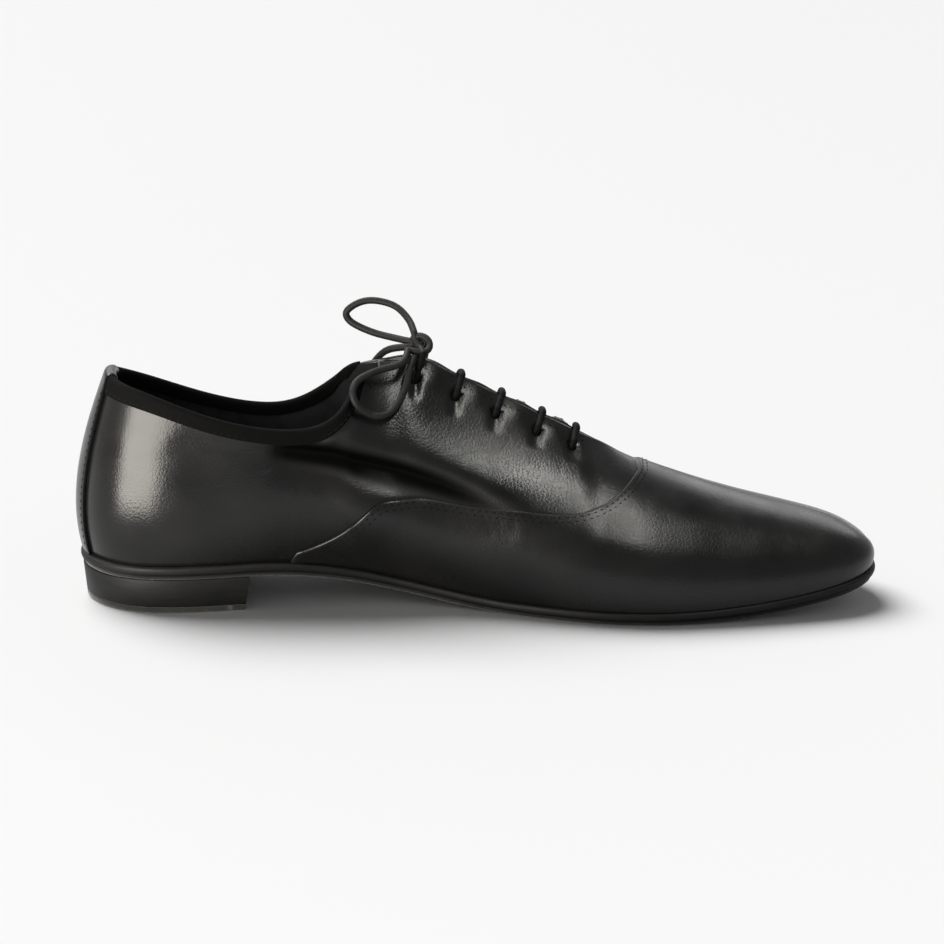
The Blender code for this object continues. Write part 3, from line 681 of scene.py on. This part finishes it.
# the knot: strands that cross under one wrap, in mm
knot = {
    "strands": [
        # the leads, the strand round the front of the knot into the drooping loop, then the loops and ends
        [(123.6, -6, 89.7), (123.2, -3, 90.9), (122.8, 0, 91.2), (123, 3, 90.9), (123.6, 6, 89.7)],
        [(120.6, 1.6, 93.6), (122.8, 0.6, 94.9), (125.2, -1, 94.3), (126.3, -2.8, 92.3), (125, -4.6, 90.4),
         (121.8, -4.9, 90.2), (118.4, -3.8, 90.6)],
        [(121.0, 1.4, 95.7), (121.4, 0.9, 94.0), (122.0, -0.4, 92.2), (122.4, -2.0, 90.8)],
        [(117.6, 4.4, 92.6), (119.8, 2.8, 92.5), (121.8, 1.2, 92.4), (123.6, -0.6, 92.2)],
        [(120.4, -6.2, 88.0), (121.9, -4.0, 88.9), (122.9, -1.6, 90.2), (122.9, 1.2, 91.2)],
        [(118.0, 0.6, 90.8), (120.2, 0.4, 91.0), (122.4, 0.8, 91.6), (124.0, 1.6, 92.0)],
        [(123.6, 8.6, 91.8), (123.8, 5.8, 92.5), (123.2, 3.0, 92.7), (122.0, 0.6, 92.4)],
    ],
    "thick": 0.00128,  # radius of a strand in metres
}
strands = [braidTube(toFrame(s), knot["thick"])[0] for s in knot["strands"]]
standFor(layTubes("laceKnot", strands, laceCord), "lace_knot")
print("lace laid")

# upper: hollow shell, vamp lapped over the quarters, folds in mm seen from the side, some with painted shade
# in the trough
upper = {
    "stationsPerRow": [(6, 10), (13, 21), (18, 12)],  # finer round the lacing and the fold
    "vampRows": 18,
    "quarterRows": 60,
    "wall": 1.8,
    "lap": 0.9,
    "lapEdge": 0.8,  # width of the lap's rounded edge
    "lapLevels": [0.90, 0.60],
    "lapFoot": 0.6,  # first mesh row beyond the lap
    "underLap": -0.10,
    "rolledEdge": 0.55,
    "footFade": 8,  # folds run out towards the sole and the top edge
    "topFade": 14,
    # below and above are the widths of a fold's two sides
    # drape is how far the leather above hangs down over it
    # dark is how much painted shade lies in the fold's trough
    "folds": [
        {  # the deep fold under the ankle
            "side": 1, "depth": 6.0, "below": 11.0, "above": 4.2, "dark": 1.0, "drape": 1.8, "drapeAt": 5.0,
            "path": [(66, 59.8), (76, 59.3), (84, 58.8), (92.5, 57.5), (104, 54.8), (115, 51.8), (125, 48.8),
                     (134, 45.4), (142, 42.2), (150, 39.2), (160, 36.0)],
        },
        {  # line where the facing stands up from the shoulder
            "side": 1, "depth": 0.5, "below": 12.0, "above": 6.0, "dark": 0.0, "drape": 0.0, "drapeAt": 9.0,
            "path": [(94, 68.8), (108, 67.8), (118, 66.9), (130, 64.6), (145, 60.0), (159, 54.4), (171, 49.7),
                     (183, 45.6), (191, 42.4)],
        },
        {  # its fainter match on the outer side
            "side": -1, "depth": 1.6, "below": 5.0, "above": 3.2, "dark": 0.25, "drape": 0.5, "drapeAt": 4.0,
            "path": [(72, 57.0), (84, 56.0), (98, 52.5), (112, 48.5), (128, 44.5)],
        },
        {  # hollows ahead of the heel counter
            "side": 1, "depth": 0.5, "below": 9.0, "above": 9.0, "dark": 0.0, "drape": 0.0, "drapeAt": 9.0,
            "path": [(36, 66.0), (48, 50.0), (56, 32.0)],
        },
        {
            "side": -1, "depth": 0.5, "below": 9.0, "above": 9.0, "dark": 0.0, "drape": 0.0, "drapeAt": 9.0,
            "path": [(34, 63.0), (45, 50.0), (52, 34.0)],
        },
    ],
    # crest height, how far it runs out above and below, how round the crest is
    "rolls": [
        {  # fuller leather below the fold
            "side": 1, "height": 1.3, "above": 9.0, "below": 9.0, "round": 3.0,
            "path": [(96, 31.0), (104, 36.0), (112, 41.0), (122, 46.0)],
        },
        {  # small ridge from the end of the fold up to the facing
            "side": 1, "height": 1.2, "above": 2.6, "below": 2.6, "round": 0.8,
            "path": [(81, 60.4), (87, 63.0), (91.2, 66.0), (96.3, 69.0), (102, 71.2)],
        },
        {  # outer shoulder
            "side": -1, "height": 1.3, "above": 14.0, "below": 9.0, "round": 3.0,
            "path": [(98, 67.0), (120, 64.5), (145, 58.0), (168, 49.5), (188, 43.0)],
        },
    ],
    "foldTaper": 0.6,
    "shadeAbove": 5.4,  # width of the painted shade in a fold
    "shadeBelow": 6.2,
    "shadeGain": 1.5,
    "shadeTaper": 0.7,
    "shadeStart": 0.10,
    "ridgeRound": 3.5,  # radius of the line where the two sides of the vamp meet
    "ridgeSteepest": 0.4,
    "ridgeFade": (0.8, 1.5),  # rows at the throat and at the toe
    "ridgeToe": 1.2,  # rows short of the toe
    "foldReach": 1.6,  # the lining rounds a fold this much wider
    "gather": 1.8,  # extra mesh rows gathered at the deep fold
    "gatherWidth": 6.0,
    "eyeletRadius": 1.75,
    "punched": 0.7,  # share of the radius that is cut from the mesh before its rim is rounded
    "pucker": 0.9,  # crease that runs down from each eyelet
    "puckerWidth": 1.9,
    "puckerEnd": 0.80,
    "pillow": 0.7,  # fuller leather between the eyelets
    "pillowOuter": 2.4,
    "pillowWidth": 4.6,
    "pillowShare": 0.945,
}


def bump(x):
    return np.exp(-(x**2))


for fold in upper["folds"] + upper["rolls"]:
    path = np.array(fold["path"], float)
    fold["run"] = lengthAlong(path)
    fold["fine"] = np.linspace(0, fold["run"][-1], 120)
    steps = np.interp(fold["fine"], fold["run"], np.arange(len(path)))
    fold["line"] = np.stack([batten(controlsThrough(path[:, k], True), steps) for k in (0, 1)], -1)


def fromFold(fold, spots):  # distance from the fold's path, positive above it, and how full it is there
    ahead = unit(np.gradient(fold["line"], axis=0))
    gap = spots[:, None, :] - fold["line"]
    nearest = np.linalg.norm(gap, axis=-1).argmin(1)
    step = gap[np.arange(len(spots)), nearest]
    above = np.sign(ahead[nearest, 0] * step[:, 1] - ahead[nearest, 1] * step[:, 0])
    place = np.clip(fold["fine"][nearest] / fold["run"][-1], 0.01, 0.99)
    return np.linalg.norm(step, axis=-1) * above, np.sin(np.pi * place ** upper["foldTaper"])


def besideFold(fold, station, points):  # which points lie on the fold's side of the shoe, about its length
    along = fold["line"][:, 0]
    margin = 30
    near = np.abs(points[..., 0] - along.mean()) < np.ptp(along) / 2 + margin
    return near & (sideAndRow(station)[0] == fold["side"])


def foldShape(points, station, reach=1.0):  # out from the wall, down along it, and how much painted shade
    flat = points[..., [0, 2]]
    lift, slide, dark = (np.zeros(points.shape[:-1]) for _ in range(3))
    for fold in upper["folds"]:
        near = besideFold(fold, station, points)
        far, full = fromFold(fold, flat[near])
        width = np.where(far > 0, fold["above"], fold["below"])
        lift[near] -= fold["depth"] * full * bump(far / width / reach)
        slide[near] += fold["drape"] * full * bump((far - fold["drapeAt"]) / fold["above"])
        inside = bump(far / np.where(far > 0, upper["shadeAbove"], upper["shadeBelow"]))
        shade = upper["shadeGain"] * inside * full ** upper["shadeTaper"] - upper["shadeStart"]
        # painted shade in the trough, strongest at the fold's middle
        dark[near] += fold["dark"] * easeIn(shade)
    for roll in upper["rolls"]:
        near = besideFold(roll, station, points)
        far, full = fromFold(roll, flat[near])
        away = np.sqrt(far**2 + roll["round"] ** 2) - roll["round"]
        crest = np.where(far > 0, np.exp(-away / roll["above"]), bump(far / roll["below"]))
        lift[near] += roll["height"] * full * crest
    return lift, slide, dark


def laceLift(points):  # puckers below the eyelets, fuller leather between them
    rows = np.array(lace["rows"])
    lift = np.zeros(points.shape[:-1])
    for sign in (1, -1):
        tops = wallAt(sign * rows, np.full(len(rows), lace["eyeletShare"] + 0.01))
        ends = wallAt(sign * (rows + 0.02), np.full(len(rows), upper["puckerEnd"]))
        for top, end in zip(tops, ends):
            way = end - top
            along = np.clip(((points - top) @ way) / (way @ way), 0, 1)
            far = np.linalg.norm(points - top - along[..., None] * way, axis=-1)
            lift -= upper["pucker"] * (1 - along) ** 0.6 * bump(far / upper["puckerWidth"])
        halfway = (rows[1:] + rows[:-1]) / 2
        full = upper["pillow"] if sign > 0 else upper["pillowOuter"]
        for middle in wallAt(sign * halfway, np.full(len(halfway), upper["pillowShare"])):
            lift += full * bump(np.linalg.norm(points - middle, axis=-1) / upper["pillowWidth"])
    return lift


def ridgeDrop(points):  # rounds the line where the vamp's two sides meet
    count = 40
    rows = np.linspace(last["throatEnd"], lastRow - upper["ridgeToe"], count)
    top = wallAt(rows, np.ones(count))
    low = wallAt(rows, np.full(count, 0.95))
    fall = np.interp(low[:, 0], top[:, 0], top[:, 2]) - low[:, 2]
    steep = np.clip(fall / np.abs(low[:, 1] - top[:, 1]), 0, upper["ridgeSteepest"])
    atThroat, atToe = upper["ridgeFade"]
    steep *= easeIn((rows - rows[0]) / atThroat) * easeIn((rows[-1] - rows) / atToe)
    aside = np.abs(points[..., 1] - np.interp(points[..., 0], top[:, 0], top[:, 1]))
    slope = np.interp(points[..., 0], top[:, 0], steep, left=0, right=0)
    return slope * (np.sqrt(aside**2 + upper["ridgeRound"] ** 2) - aside)


def upperStations():
    half, start = [], 0
    for end, per in upper["stationsPerRow"]:
        half += list(start + np.arange((end - start) * per) / per)
        start = end
    half = np.array(half + [lastRow])
    return np.concatenate([-half[-2:0:-1], half])


def gatheredRun(stations, start, even):  # spacing of the mesh rows, closer at the deep fold
    steps = np.linspace(0, 1, 160)
    shares = start[:, None] + (1 - start)[:, None] * steps
    grid = np.repeat(stations[:, None], len(steps), 1)
    fold = upper["folds"][0]
    far, full = fromFold(fold, wallAt(grid, shares)[..., [0, 2]].reshape(-1, 2))
    close = (bump(far / upper["gatherWidth"]) * full).reshape(grid.shape)
    weight = 1 + upper["gather"] * (close * (sideAndRow(grid)[0] == fold["side"]))
    run = np.cumsum(weight, 1) - weight[:, :1]
    run = run / run[:, -1:]
    return np.stack([np.interp(even, r, steps) for r in run])


def lapRows(stations):  # shares of the wall for each mesh row, and how far the lap lifts it
    seam = seamAt(stations)
    walls = wallAt(stations[:, None], np.linspace(0, 1, 24)[None, :])
    tall = np.linalg.norm(np.diff(walls, axis=1), axis=-1).sum(1)
    edge = np.minimum(upper["lapEdge"] / tall, seam / 4)
    vampRun = np.linspace(0, 1, upper["vampRows"] - 2)
    vamp = [(seam - edge)[:, None] * vampRun, (seam - edge * 0.4)[:, None], seam[:, None]]
    first = np.minimum(upper["lapFoot"] / tall, (1 - seam) / 4)
    quarterRun = np.linspace(0, 1, upper["quarterRows"] - 1)
    gathered = gatheredRun(stations, seam + first, quarterRun)
    quarter = (seam + first)[:, None] + (1 - seam - first)[:, None] * gathered
    shares = np.concatenate([*vamp, seam[:, None], quarter], 1)
    lapped = np.array([1.0] * len(vampRun) + upper["lapLevels"]) * upper["lap"]
    under = np.array([upper["underLap"]] + [0.0] * len(quarterRun))
    levels = np.tile(np.concatenate([lapped, under]), (len(seam), 1))
    levels = np.where((seam >= 1)[:, None], upper["lap"], levels)
    levels[:, :upper["vampRows"]] *= (seam > 0)[:, None]
    return shares, levels


def punchEyelets(base):  # marks the faces that go, and draws the punched rims onto circles
    rows = np.array(lace["rows"])
    eyelets = np.full(len(rows), lace["eyeletShare"])
    holes = np.concatenate([wallAt(s * rows, eyelets) for s in (1, -1)])
    gone = np.zeros(base.shape[:2], bool)
    for hole in holes:
        gone |= np.linalg.norm(base - hole, axis=-1) < upper["punched"] * upper["eyeletRadius"]
    either = gone | np.roll(gone, -1, 0)
    dropped = either[:, :-1] | either[:, 1:]
    ringed = np.zeros(gone.shape, bool)
    for shiftRow in (0, 1):
        ringed[:, :-1] |= np.roll(dropped, shiftRow, 0)
        ringed[:, 1:] |= np.roll(dropped, shiftRow, 0)
    ringed &= ~gone
    for i, j in zip(*np.nonzero(ringed)):
        hole = holes[np.linalg.norm(holes - base[i, j], axis=1).argmin()]
        away = base[i, j] - hole
        base[i, j] = hole + away * upper["eyeletRadius"] / np.linalg.norm(away)
    return dropped


def makeUpper():
    stations = upperStations()
    shares, levels = lapRows(stations)
    grid = np.repeat(stations[:, None], shares.shape[1], 1)
    base = wallAt(grid, shares)
    normal = wallNormal(grid, shares)
    dropped = punchEyelets(base)

    step = 0.02
    rise = unit(wallAt(grid, np.minimum(1, shares + step)) - wallAt(grid, np.maximum(0, shares - step)))
    fade = np.clip(shares * upper["footFade"], 0, 1) * easeIn((1 - shares) * upper["topFade"])
    lift, slide, dark = (part * fade for part in foldShape(base, grid))
    lacing = laceLift(base)
    outer = base + (levels + lift + lacing)[..., None] * normal - slide[..., None] * rise
    hollow = foldShape(base, grid, upper["foldReach"])[0] * fade
    inner = base + (hollow + lacing - upper["wall"])[..., None] * normal
    inner[:, 0, 2] = base[:, 0, 2]
    drop = ridgeDrop(base)
    outer[..., 2] -= drop
    inner[..., 2] -= drop
    topRise = unit(wallAt(stations, np.ones(len(stations))) - wallAt(stations, np.full(len(stations), 0.97)))
    middle = (outer[:, -1] + inner[:, -1]) / 2 + upper["rolledEdge"] * topRise  # edge of collar and facings
    rows, cols = shares.shape
    second, third = rows * cols, 2 * rows * cols
    points = np.concatenate([outer.reshape(-1, 3), inner.reshape(-1, 3), middle])
    kept = ~dropped.reshape(-1)
    outside = [f for f, k in zip(gridFaces(rows, cols, closeRows=True), kept) if k]
    inside = [tuple(v + second for v in f) for f in outside]
    rims = []
    for i, j in zip(*np.nonzero(dropped)):
        k = (i + 1) % rows
        corners = [(i, j), (k, j), (k, j + 1), (i, j + 1)]
        sides = [dropped[i, j - 1], dropped[k, j], dropped[i, j + 1], dropped[i - 1, j]]
        for corner, after, open_ in zip(corners, corners[1:] + corners[:1], sides):
            if not open_:
                a, b = corner[0] * cols + corner[1], after[0] * cols + after[1]
                rims.append((a, b, second + b, second + a))
    row = sideAndRow(stations)[1]
    for i in range(rows):
        j = (i + 1) % rows
        rims.append((i * cols, j * cols, second + j * cols, second + i * cols))
        if min(row[i], row[j]) < last["throatEnd"] - 1e-9:
            a, b = i * cols + cols - 1, j * cols + cols - 1
            rims.append((a, b, third + j, third + i))
            rims.append((third + i, third + j, second + b, second + a))
    finish = [0] * len(outside) + [1] * len(inside) + [0] * len(rims)
    rest = np.zeros(len(points) - second)
    # painted shade of the folds, read by the leather
    paintedFoldShade = np.concatenate([dark.reshape(-1), rest])
    foot = np.concatenate([(shares <= 0).reshape(-1), rest])  # the wall meets the sole here
    return layMesh(
        "upperShell", points, outside + inside + rims, [calf, lining],
        sharp=70, finish=finish, paintedFoldShade=paintedFoldShade, hard=foot,
    )


shell = standFor(makeUpper(), "upper")
print("upper", len(shell.data.polygons), "faces")

# backstay and collar binding: strips laid on the wall and turned over the collar's edge
strips = {
    "backstayHalfRows": 0.62,
    "backstayThick": 0.9,
    "backstayFiller": 0.15,
    "backstayLift": 0.3,
    "backstayInside": 0.88,
    "bindingStart": 0.925,
    "bindingEnd": 7.0,
    "bindingThick": 0.75,
    "bindingLift": 0.1,
    "bindingTuck": 0.15,  # rows that it reaches under the backstay
    "turnSteps": 9,
}


def turnedStrip(station, shares, lift, thick, innerShare):  # ring up the outside, over the edge, down inside
    half = upper["wall"] / 2
    top = wallAt(station, 1.0)
    normal = wallNormal(station, 1.0)
    rise = unit(top - wallAt(station, 0.97))
    crown = top - half * normal
    turn = np.linspace(0, math.pi, strips["turnSteps"])[1:-1, None]
    inShares = np.linspace(1.0, innerShare, 4)
    ring = []
    for out in (lift + thick, lift):
        up = skinAt(np.full(len(shares), station), shares, np.full(len(shares), out))
        over = crown + (half + out) * (np.cos(turn) * normal + np.sin(turn) * rise)
        down = skinAt(np.full(4, station), inShares, np.full(4, -upper["wall"] - out))
        ring.append(np.concatenate([up, over, down]))
    return np.concatenate([ring[0], ring[1][::-1]])


def makeBackstay():
    rings = []
    shares = np.linspace(0.0, 1.0, 40)
    for s in np.linspace(-1, 1, 33):
        shoulder = 1.0 - 0.25 * max(0.0, abs(s) - 0.94) / 0.06  # rounded long edges
        thick = strips["backstayThick"] * shoulder + strips["backstayFiller"]
        station = s * strips["backstayHalfRows"]
        rings.append(turnedStrip(station, shares, strips["backstayLift"], thick, strips["backstayInside"]))
    loftPiece("backstayStrip", "backstay", rings, calf, 60)


def makeBinding(side, node):
    rings = []
    first = strips["backstayHalfRows"] - strips["bindingTuck"]
    stations = np.linspace(first, strips["bindingEnd"], 140)
    for i, station in enumerate(stations):
        fade = min(1.0, (len(stations) - 1 - i) / 6)  # runs out under the facing
        start = strips["bindingStart"] + 0.05 * (1 - fade)
        thick = strips["bindingThick"] * (0.4 + 0.6 * fade)
        shares = np.linspace(start, 1.0, 6)
        rings.append(turnedStrip(side * station, shares, strips["bindingLift"], thick, start + 0.01))
    name = "collarBinding" + ("Inner" if side > 0 else "Outer")
    loftPiece(name, node, rings, binding, 60)


makeBackstay()
makeBinding(1, "collar_band_medial")
makeBinding(-1, "collar_band_lateral")
print("backstay and binding on")

# tongue under the facings
tongue = {
    "rows": [7.70, 7.85, 8.20, 8.70, 9.30, 9.80, 10.5, 11.2, 11.9, 12.6],
    "lowShare": [0.955, 0.91, 0.85, 0.77, 0.71, 0.68, 0.66, 0.66, 0.67, 0.70],
    "thick": 1.8,
    "clear": 0.6,
    "crown": 0.4,
    "middle": 0.4,
}


def tongueLine(row, low, depth):
    middle = float(batten(wallColumns["ridge"], row))
    sides = []
    for side in (1, -1):
        shares = np.linspace(low, 1.0, 10)
        line = skinAt(np.full(10, side * row), shares, np.full(10, -depth))
        line[:, 1] = middle - side * np.maximum(side * (middle - line[:, 1]), tongue["middle"])
        sides.append(line)
    a, b = sides[0][-1], sides[1][-1]
    lift = tongue["crown"] * (b[1] - a[1]) / 2
    bridge = []
    for t in np.linspace(0, 1, 9)[1:-1]:
        bridge.append(a + (b - a) * t + np.array([0, 0, lift * 4 * t * (1 - t)]))
    return np.concatenate([sides[0], bridge, sides[1][::-1]])


rings = []
face = upper["wall"] + tongue["clear"]
for row in np.linspace(tongue["rows"][0], tongue["rows"][-1], 60):
    low = float(np.interp(row, tongue["rows"], tongue["lowShare"]))
    below = tongueLine(row, low, face + tongue["thick"])
    rings.append(np.concatenate([tongueLine(row, low, face), below[::-1]]))
loftPiece("tonguePiece", "tongue", rings, calf, 60)
print("tongue in")

# sole: suede tread, board with a burnished edge, sock, heel and its suede lift
sole = {
    "stations": 180,
    "suedeInset": 1.2,
    "suedeFiller": 0.2,  # closes most of the glue gap above the suede
    "boardInset": 0.0,
    "sockInset": 4.6,
    "sockThick": 2.4,
    "liftThick": 2.0,
    "heelInsetTop": 0.8,
    "heelInsetFloor": 2.2,
    "breastHollow": 3.0,
    # rounded edges: inset in mm, then the share of the layer's thickness
    "boardEdge": [(0.75, 0.0), (0.25, 0.10), (0.0, 0.34), (0.0, 0.62), (0.22, 0.88), (0.70, 1.0)],
    "suedeEdge": [(0.5, 0.0), (0.12, 0.18), (0.0, 0.55), (0.0, 1.0)],
    "sockEdge": [(0.0, 0.0), (0.0, 0.55), (0.4, 0.86), (1.3, 1.0)],
    # rounded edges of the heel's pieces: mm from the lower or upper face, inset
    "heelLowEdge": [(0.0, 0.45), (0.12, 0.18), (0.4, 0.0)],
    "heelHighEdge": [(0.35, 0.0), (0.1, 0.15), (0.0, 0.4)],
}


def soleLayer(name, node, slotName, material, low, high, insetName, edgeName):
    inset, edge = sole[insetName], sole[edgeName]
    turn = np.pi * np.arange(sole["stations"] + 1) / sole["stations"]
    columns = []
    for sign, order in ((1, edge), (-1, edge[::-1])):
        for extra, share in order:
            place = rim(sign * turn, inset + extra)[0]
            columns.append(atHeight(place, soleBottom(place[:, 0]) + low + (high - low) * share))
    loftPiece(name, node, np.stack(columns, 1), material, 62)


suedeHigh = last["suede"] + sole["suedeFiller"]
boardLow = last["suede"] + last["gap"]
boardHigh = boardLow + last["board"]
sockLow = boardHigh + last["gap"]
sockHigh = sockLow + sole["sockThick"]
for layer in (
    ("suedeTread", "suede_outsole", "black_suede", treadSuede, 0.0, suedeHigh, "suedeInset", "suedeEdge"),
    ("soleBoard", "sole_board", "sole_edge", dyedEdge, boardLow, boardHigh, "boardInset", "boardEdge"),
    ("sock", "insole", "black_lining", lining, sockLow, sockHigh, "sockInset", "sockEdge"),
):
    soleLayer(*layer)


def heelRing(height, inset):
    breast = last["heelLength"] - inset
    turn = float(stationAngle(breast))
    around = turn * np.linspace(1, -1, 61)
    sideLine = rim(around, inset)[0]
    share = np.linspace(0, 1, 18)[1:-1]
    front = sideLine[-1] + (sideLine[0] - sideLine[-1]) * share[:, None]
    front[:, 0] -= sole["breastHollow"] * np.sin(np.pi * share)
    return atHeight(np.concatenate([sideLine, front]), height)


def heelPiece(name, node, material, low, high):
    edges = [(low + up, extra) for up, extra in sole["heelLowEdge"]]
    edges += [(high - down, extra) for down, extra in sole["heelHighEdge"]]
    taper = sole["heelInsetTop"] - sole["heelInsetFloor"]
    rings = []
    for height, extra in edges:
        inset = sole["heelInsetFloor"] + taper * height / last["heelHeight"]
        rings.append(heelRing(height, inset + extra))
    loftPiece(name, node, rings, material, 50)


blockLow, blockHigh = sole["liftThick"] + 0.2, last["heelHeight"] - 0.05
heelPiece("heelLift", "heel_top_piece", liftSuede, 0.0, sole["liftThick"] + 0.15)
heelPiece("heelBlock", "heel_block", dyedEdge, blockLow, blockHigh)
print("sole and heel built")

# stitching: short sunk threads along the lap, facings, backstay and binding
stitch = {
    "length": 1.9,
    "gap": 0.75,
    "radius": 0.22,
    "sink": 0.10,
    "shape": [(-0.22, 0.45), (0.0, 0.9), (0.08, 1.0), (0.0, 0.9), (-0.22, 0.45)],  # height in mm, swell
    "sides": 6,
    "topShare": 0.998,  # as near the top edge as a row goes
    "lapRows": (4.75, 13.12),
    "lapInsets": (1.5, 3.3),  # mm from the lap's edge
    "tipLean": 0.5,  # rows forward for a full share of the wall, near the vamp's tip
    "facingRows": (7.0, 12.2),
    "facingInset": 2.2,
    "backstayShares": (0.04, 0.95),
    "backstayInset": 0.07,  # in rows
    "collarRows": (0.05, 6.7),  # the first from the backstay's edge
    "collarShare": 0.018,  # above the binding's start
}


def shiftedRun(stations, shares, across):  # moves a line on the wall sideways by so many mm
    points = wallAt(stations, shares)
    along = unit(np.gradient(points, axis=0))
    normal = wallNormal(stations, shares)
    aside = np.cross(normal, along) * across
    stepS, stepV = 0.02, 0.01
    dS = (wallAt(stations + stepS, shares) - wallAt(stations - stepS, shares)) / (2 * stepS)
    higher = wallAt(stations, np.minimum(shares + stepV, 1))
    dV = (higher - wallAt(stations, np.maximum(shares - stepV, 0))) / (2 * stepV)
    a, b, c = (dS * dS).sum(1), (dS * dV).sum(1), (dV * dV).sum(1)
    p, q = (dS * aside).sum(1), (dV * aside).sum(1)
    det = a * c - b * b
    s = stations + (c * p - b * q) / det
    v = np.clip(shares + (a * q - b * p) / det, 1 - stitch["topShare"], stitch["topShare"])
    moved = wallAt(s, v)
    clear = np.array([np.linalg.norm(points - m, axis=1).min() for m in moved])
    keep = clear > 0.93 * abs(across)  # drops what would cross itself inside a corner
    return s[keep], v[keep]


def sewRun(stations, shares, lift):  # a row of stitches along a line on the wall
    points = wallAt(stations, shares)
    normal = wallNormal(stations, shares)
    relief = foldShape(points, stations)[0] * easeIn((1 - shares) * upper["topFade"]) + laceLift(points)
    base = points + (lift + relief)[:, None] * normal
    base[:, 2] -= ridgeDrop(points)
    run = lengthAlong(base)
    heights, swells = np.array(stitch["shape"]).T
    turns = 2 * np.pi * np.arange(stitch["sides"]) / stitch["sides"]
    sewn = []
    place = stitch["gap"]
    while place + stitch["length"] < run[-1]:
        steps = np.linspace(place, place + stitch["length"], len(heights))
        out = unit(pickAlong(steps, run, normal))
        centre = pickAlong(steps, run, base) + (heights - stitch["sink"])[:, None] * out
        aside = np.cross(unit(np.gradient(centre, axis=0)), out)
        rings = []
        for i, swell in enumerate(swells):
            around = np.cos(turns)[:, None] * aside[i] + np.sin(turns)[:, None] * out[i]
            rings.append(centre[i] + stitch["radius"] * swell * around)
        sewn.append(toFrame(np.array(rings)))
        place += stitch["length"] + stitch["gap"]
    return sewn


def layStitches():
    sewn = []
    onBackstay = strips["backstayLift"] + strips["backstayThick"] + strips["backstayFiller"]
    onBinding = strips["bindingLift"] + strips["bindingThick"]
    for side in (1, -1):
        rows = np.linspace(*stitch["lapRows"], 500)
        rows = rows[(seamAt(rows) > 0) & (seamAt(rows) < 1)]
        for inset in stitch["lapInsets"]:
            s, v = shiftedRun(side * rows, seamAt(rows), -side * inset)
            over = np.linspace(v[-1], stitch["topShare"], 14)[1:]  # on beside the lap's edge to the ridge
            s = np.append(s, s[-1] + side * stitch["tipLean"] * (over - v[-1]))
            sewn += sewRun(s, np.append(v, over), upper["lap"])
        edge = side * np.linspace(*stitch["facingRows"], 300)
        s, v = shiftedRun(edge, np.full(300, stitch["topShare"]), -side * stitch["facingInset"])
        sewn += sewRun(s, v, 0.0)
        inward = np.full(200, side * (strips["backstayHalfRows"] - stitch["backstayInset"]))
        sewn += sewRun(inward, np.linspace(*stitch["backstayShares"], 200), onBackstay)
        first, end = stitch["collarRows"]
        collar = side * np.linspace(strips["backstayHalfRows"] + first, end, 320)
        sewn += sewRun(collar, np.full(320, strips["bindingStart"] + stitch["collarShare"]), onBinding)
    return layTubes("stitching", sewn, thread)


threads = layStitches()
print("stitching", len(threads.data.polygons), "faces")

# floor and light: pale sheet, soft sun as fill, a long box overhead on the toe's side,
# a small one beside the heel and a wide one behind
studio = {
    "floorColour": (0.80, 0.80, 0.798, 1.0),
    "floorSize": 60.0,
    "fillFrom": (-0.45, 0.50, 1.0),
    "fillSpread": 40.0,  # degrees across
    "fillPower": 3.75,
    # place, aim, width and length in metres, watts, colour; they light the shoe alone
    "boxes": {
        "overhead": ((0.63, -0.465, 1.80), (0.63, -0.465, 0.0), (0.15, 1.77), 20.5, (1.0, 0.99, 0.93)),
        "heelSide": ((-0.128, -0.170, 0.095), (-0.01, -0.03, 0.055), (0.18, 0.15), 1.45, (1.0, 0.96, 0.87)),
        "behind": ((0.20, 1.40, 0.75), (0.12, 0.0, 0.05), (2.2, 0.5), 6.0, (1.0, 1.0, 1.0)),
    },
    "missed": {"heelSide": ["backstayStrip"]},  # each box misses the floor too
    # sine of the height, brightness
    "skyStops": [(0.0, 0.45), (0.30, 0.36), (0.55, 0.30), (0.80, 0.13), (1.0, 0.05)],
}


def addLight(name, kind, place, aim, energy):
    light = bpy.data.lights.new(name, kind)
    light.energy = energy
    lamp = bpy.data.objects.new(name, light)
    lamp.location = place
    lamp.rotation_euler = (Vector(aim) - Vector(place)).to_track_quat("-Z", "Y").to_euler()
    lamp.visible_camera = False
    bpy.context.scene.collection.objects.link(lamp)
    return lamp


def buildStudio():
    mesh = bpy.data.meshes.new("paleFloor")
    h = studio["floorSize"] / 2
    mesh.from_pydata([(-h, -h, 0), (h, -h, 0), (h, h, 0), (-h, h, 0)], [], [(0, 1, 2, 3)])
    floor = bpy.data.objects.new("paleFloor", mesh)
    paper = {"Base_Color": studio["floorColour"], "Roughness": 0.6, "Specular_IOR_Level": 0.2}
    mesh.materials.append(newMaterial("palePaper", **paper)[0])
    bpy.context.scene.collection.objects.link(floor)
    world = bpy.data.worlds.new("softRoom")
    world.use_nodes = True
    tree = world.node_tree
    place = addNode(tree, "ShaderNodeTexCoord").outputs["Generated"]
    sky = ramp(tree, splitPlace(tree, place)["Z"], studio["skyStops"])
    tree.links.new(sky, tree.nodes["Background"].inputs["Color"])
    bpy.context.scene.world = world
    fill = addLight("fill", "SUN", studio["fillFrom"], (0, 0, 0), studio["fillPower"])
    fill.data.angle = math.radians(studio["fillSpread"])
    for name, (place, aim, size, watts, colour) in studio["boxes"].items():
        box = addLight(name, "AREA", place, aim, watts)
        box.data.color = colour
        box.data.shape = "RECTANGLE"
        box.data.size, box.data.size_y = size
        missed = bpy.data.collections.new(name + "Misses")
        for piece in [floor] + [bpy.data.objects[p] for p in studio["missed"].get(name, [])]:
            missed.objects.link(piece)
        for entry in missed.collection_objects:
            entry.light_linking.link_state = "EXCLUDE"
        box.light_linking.receiver_collection = missed
    bpy.context.scene.view_settings.view_transform = "Standard"


buildStudio()
print("floor and light set")
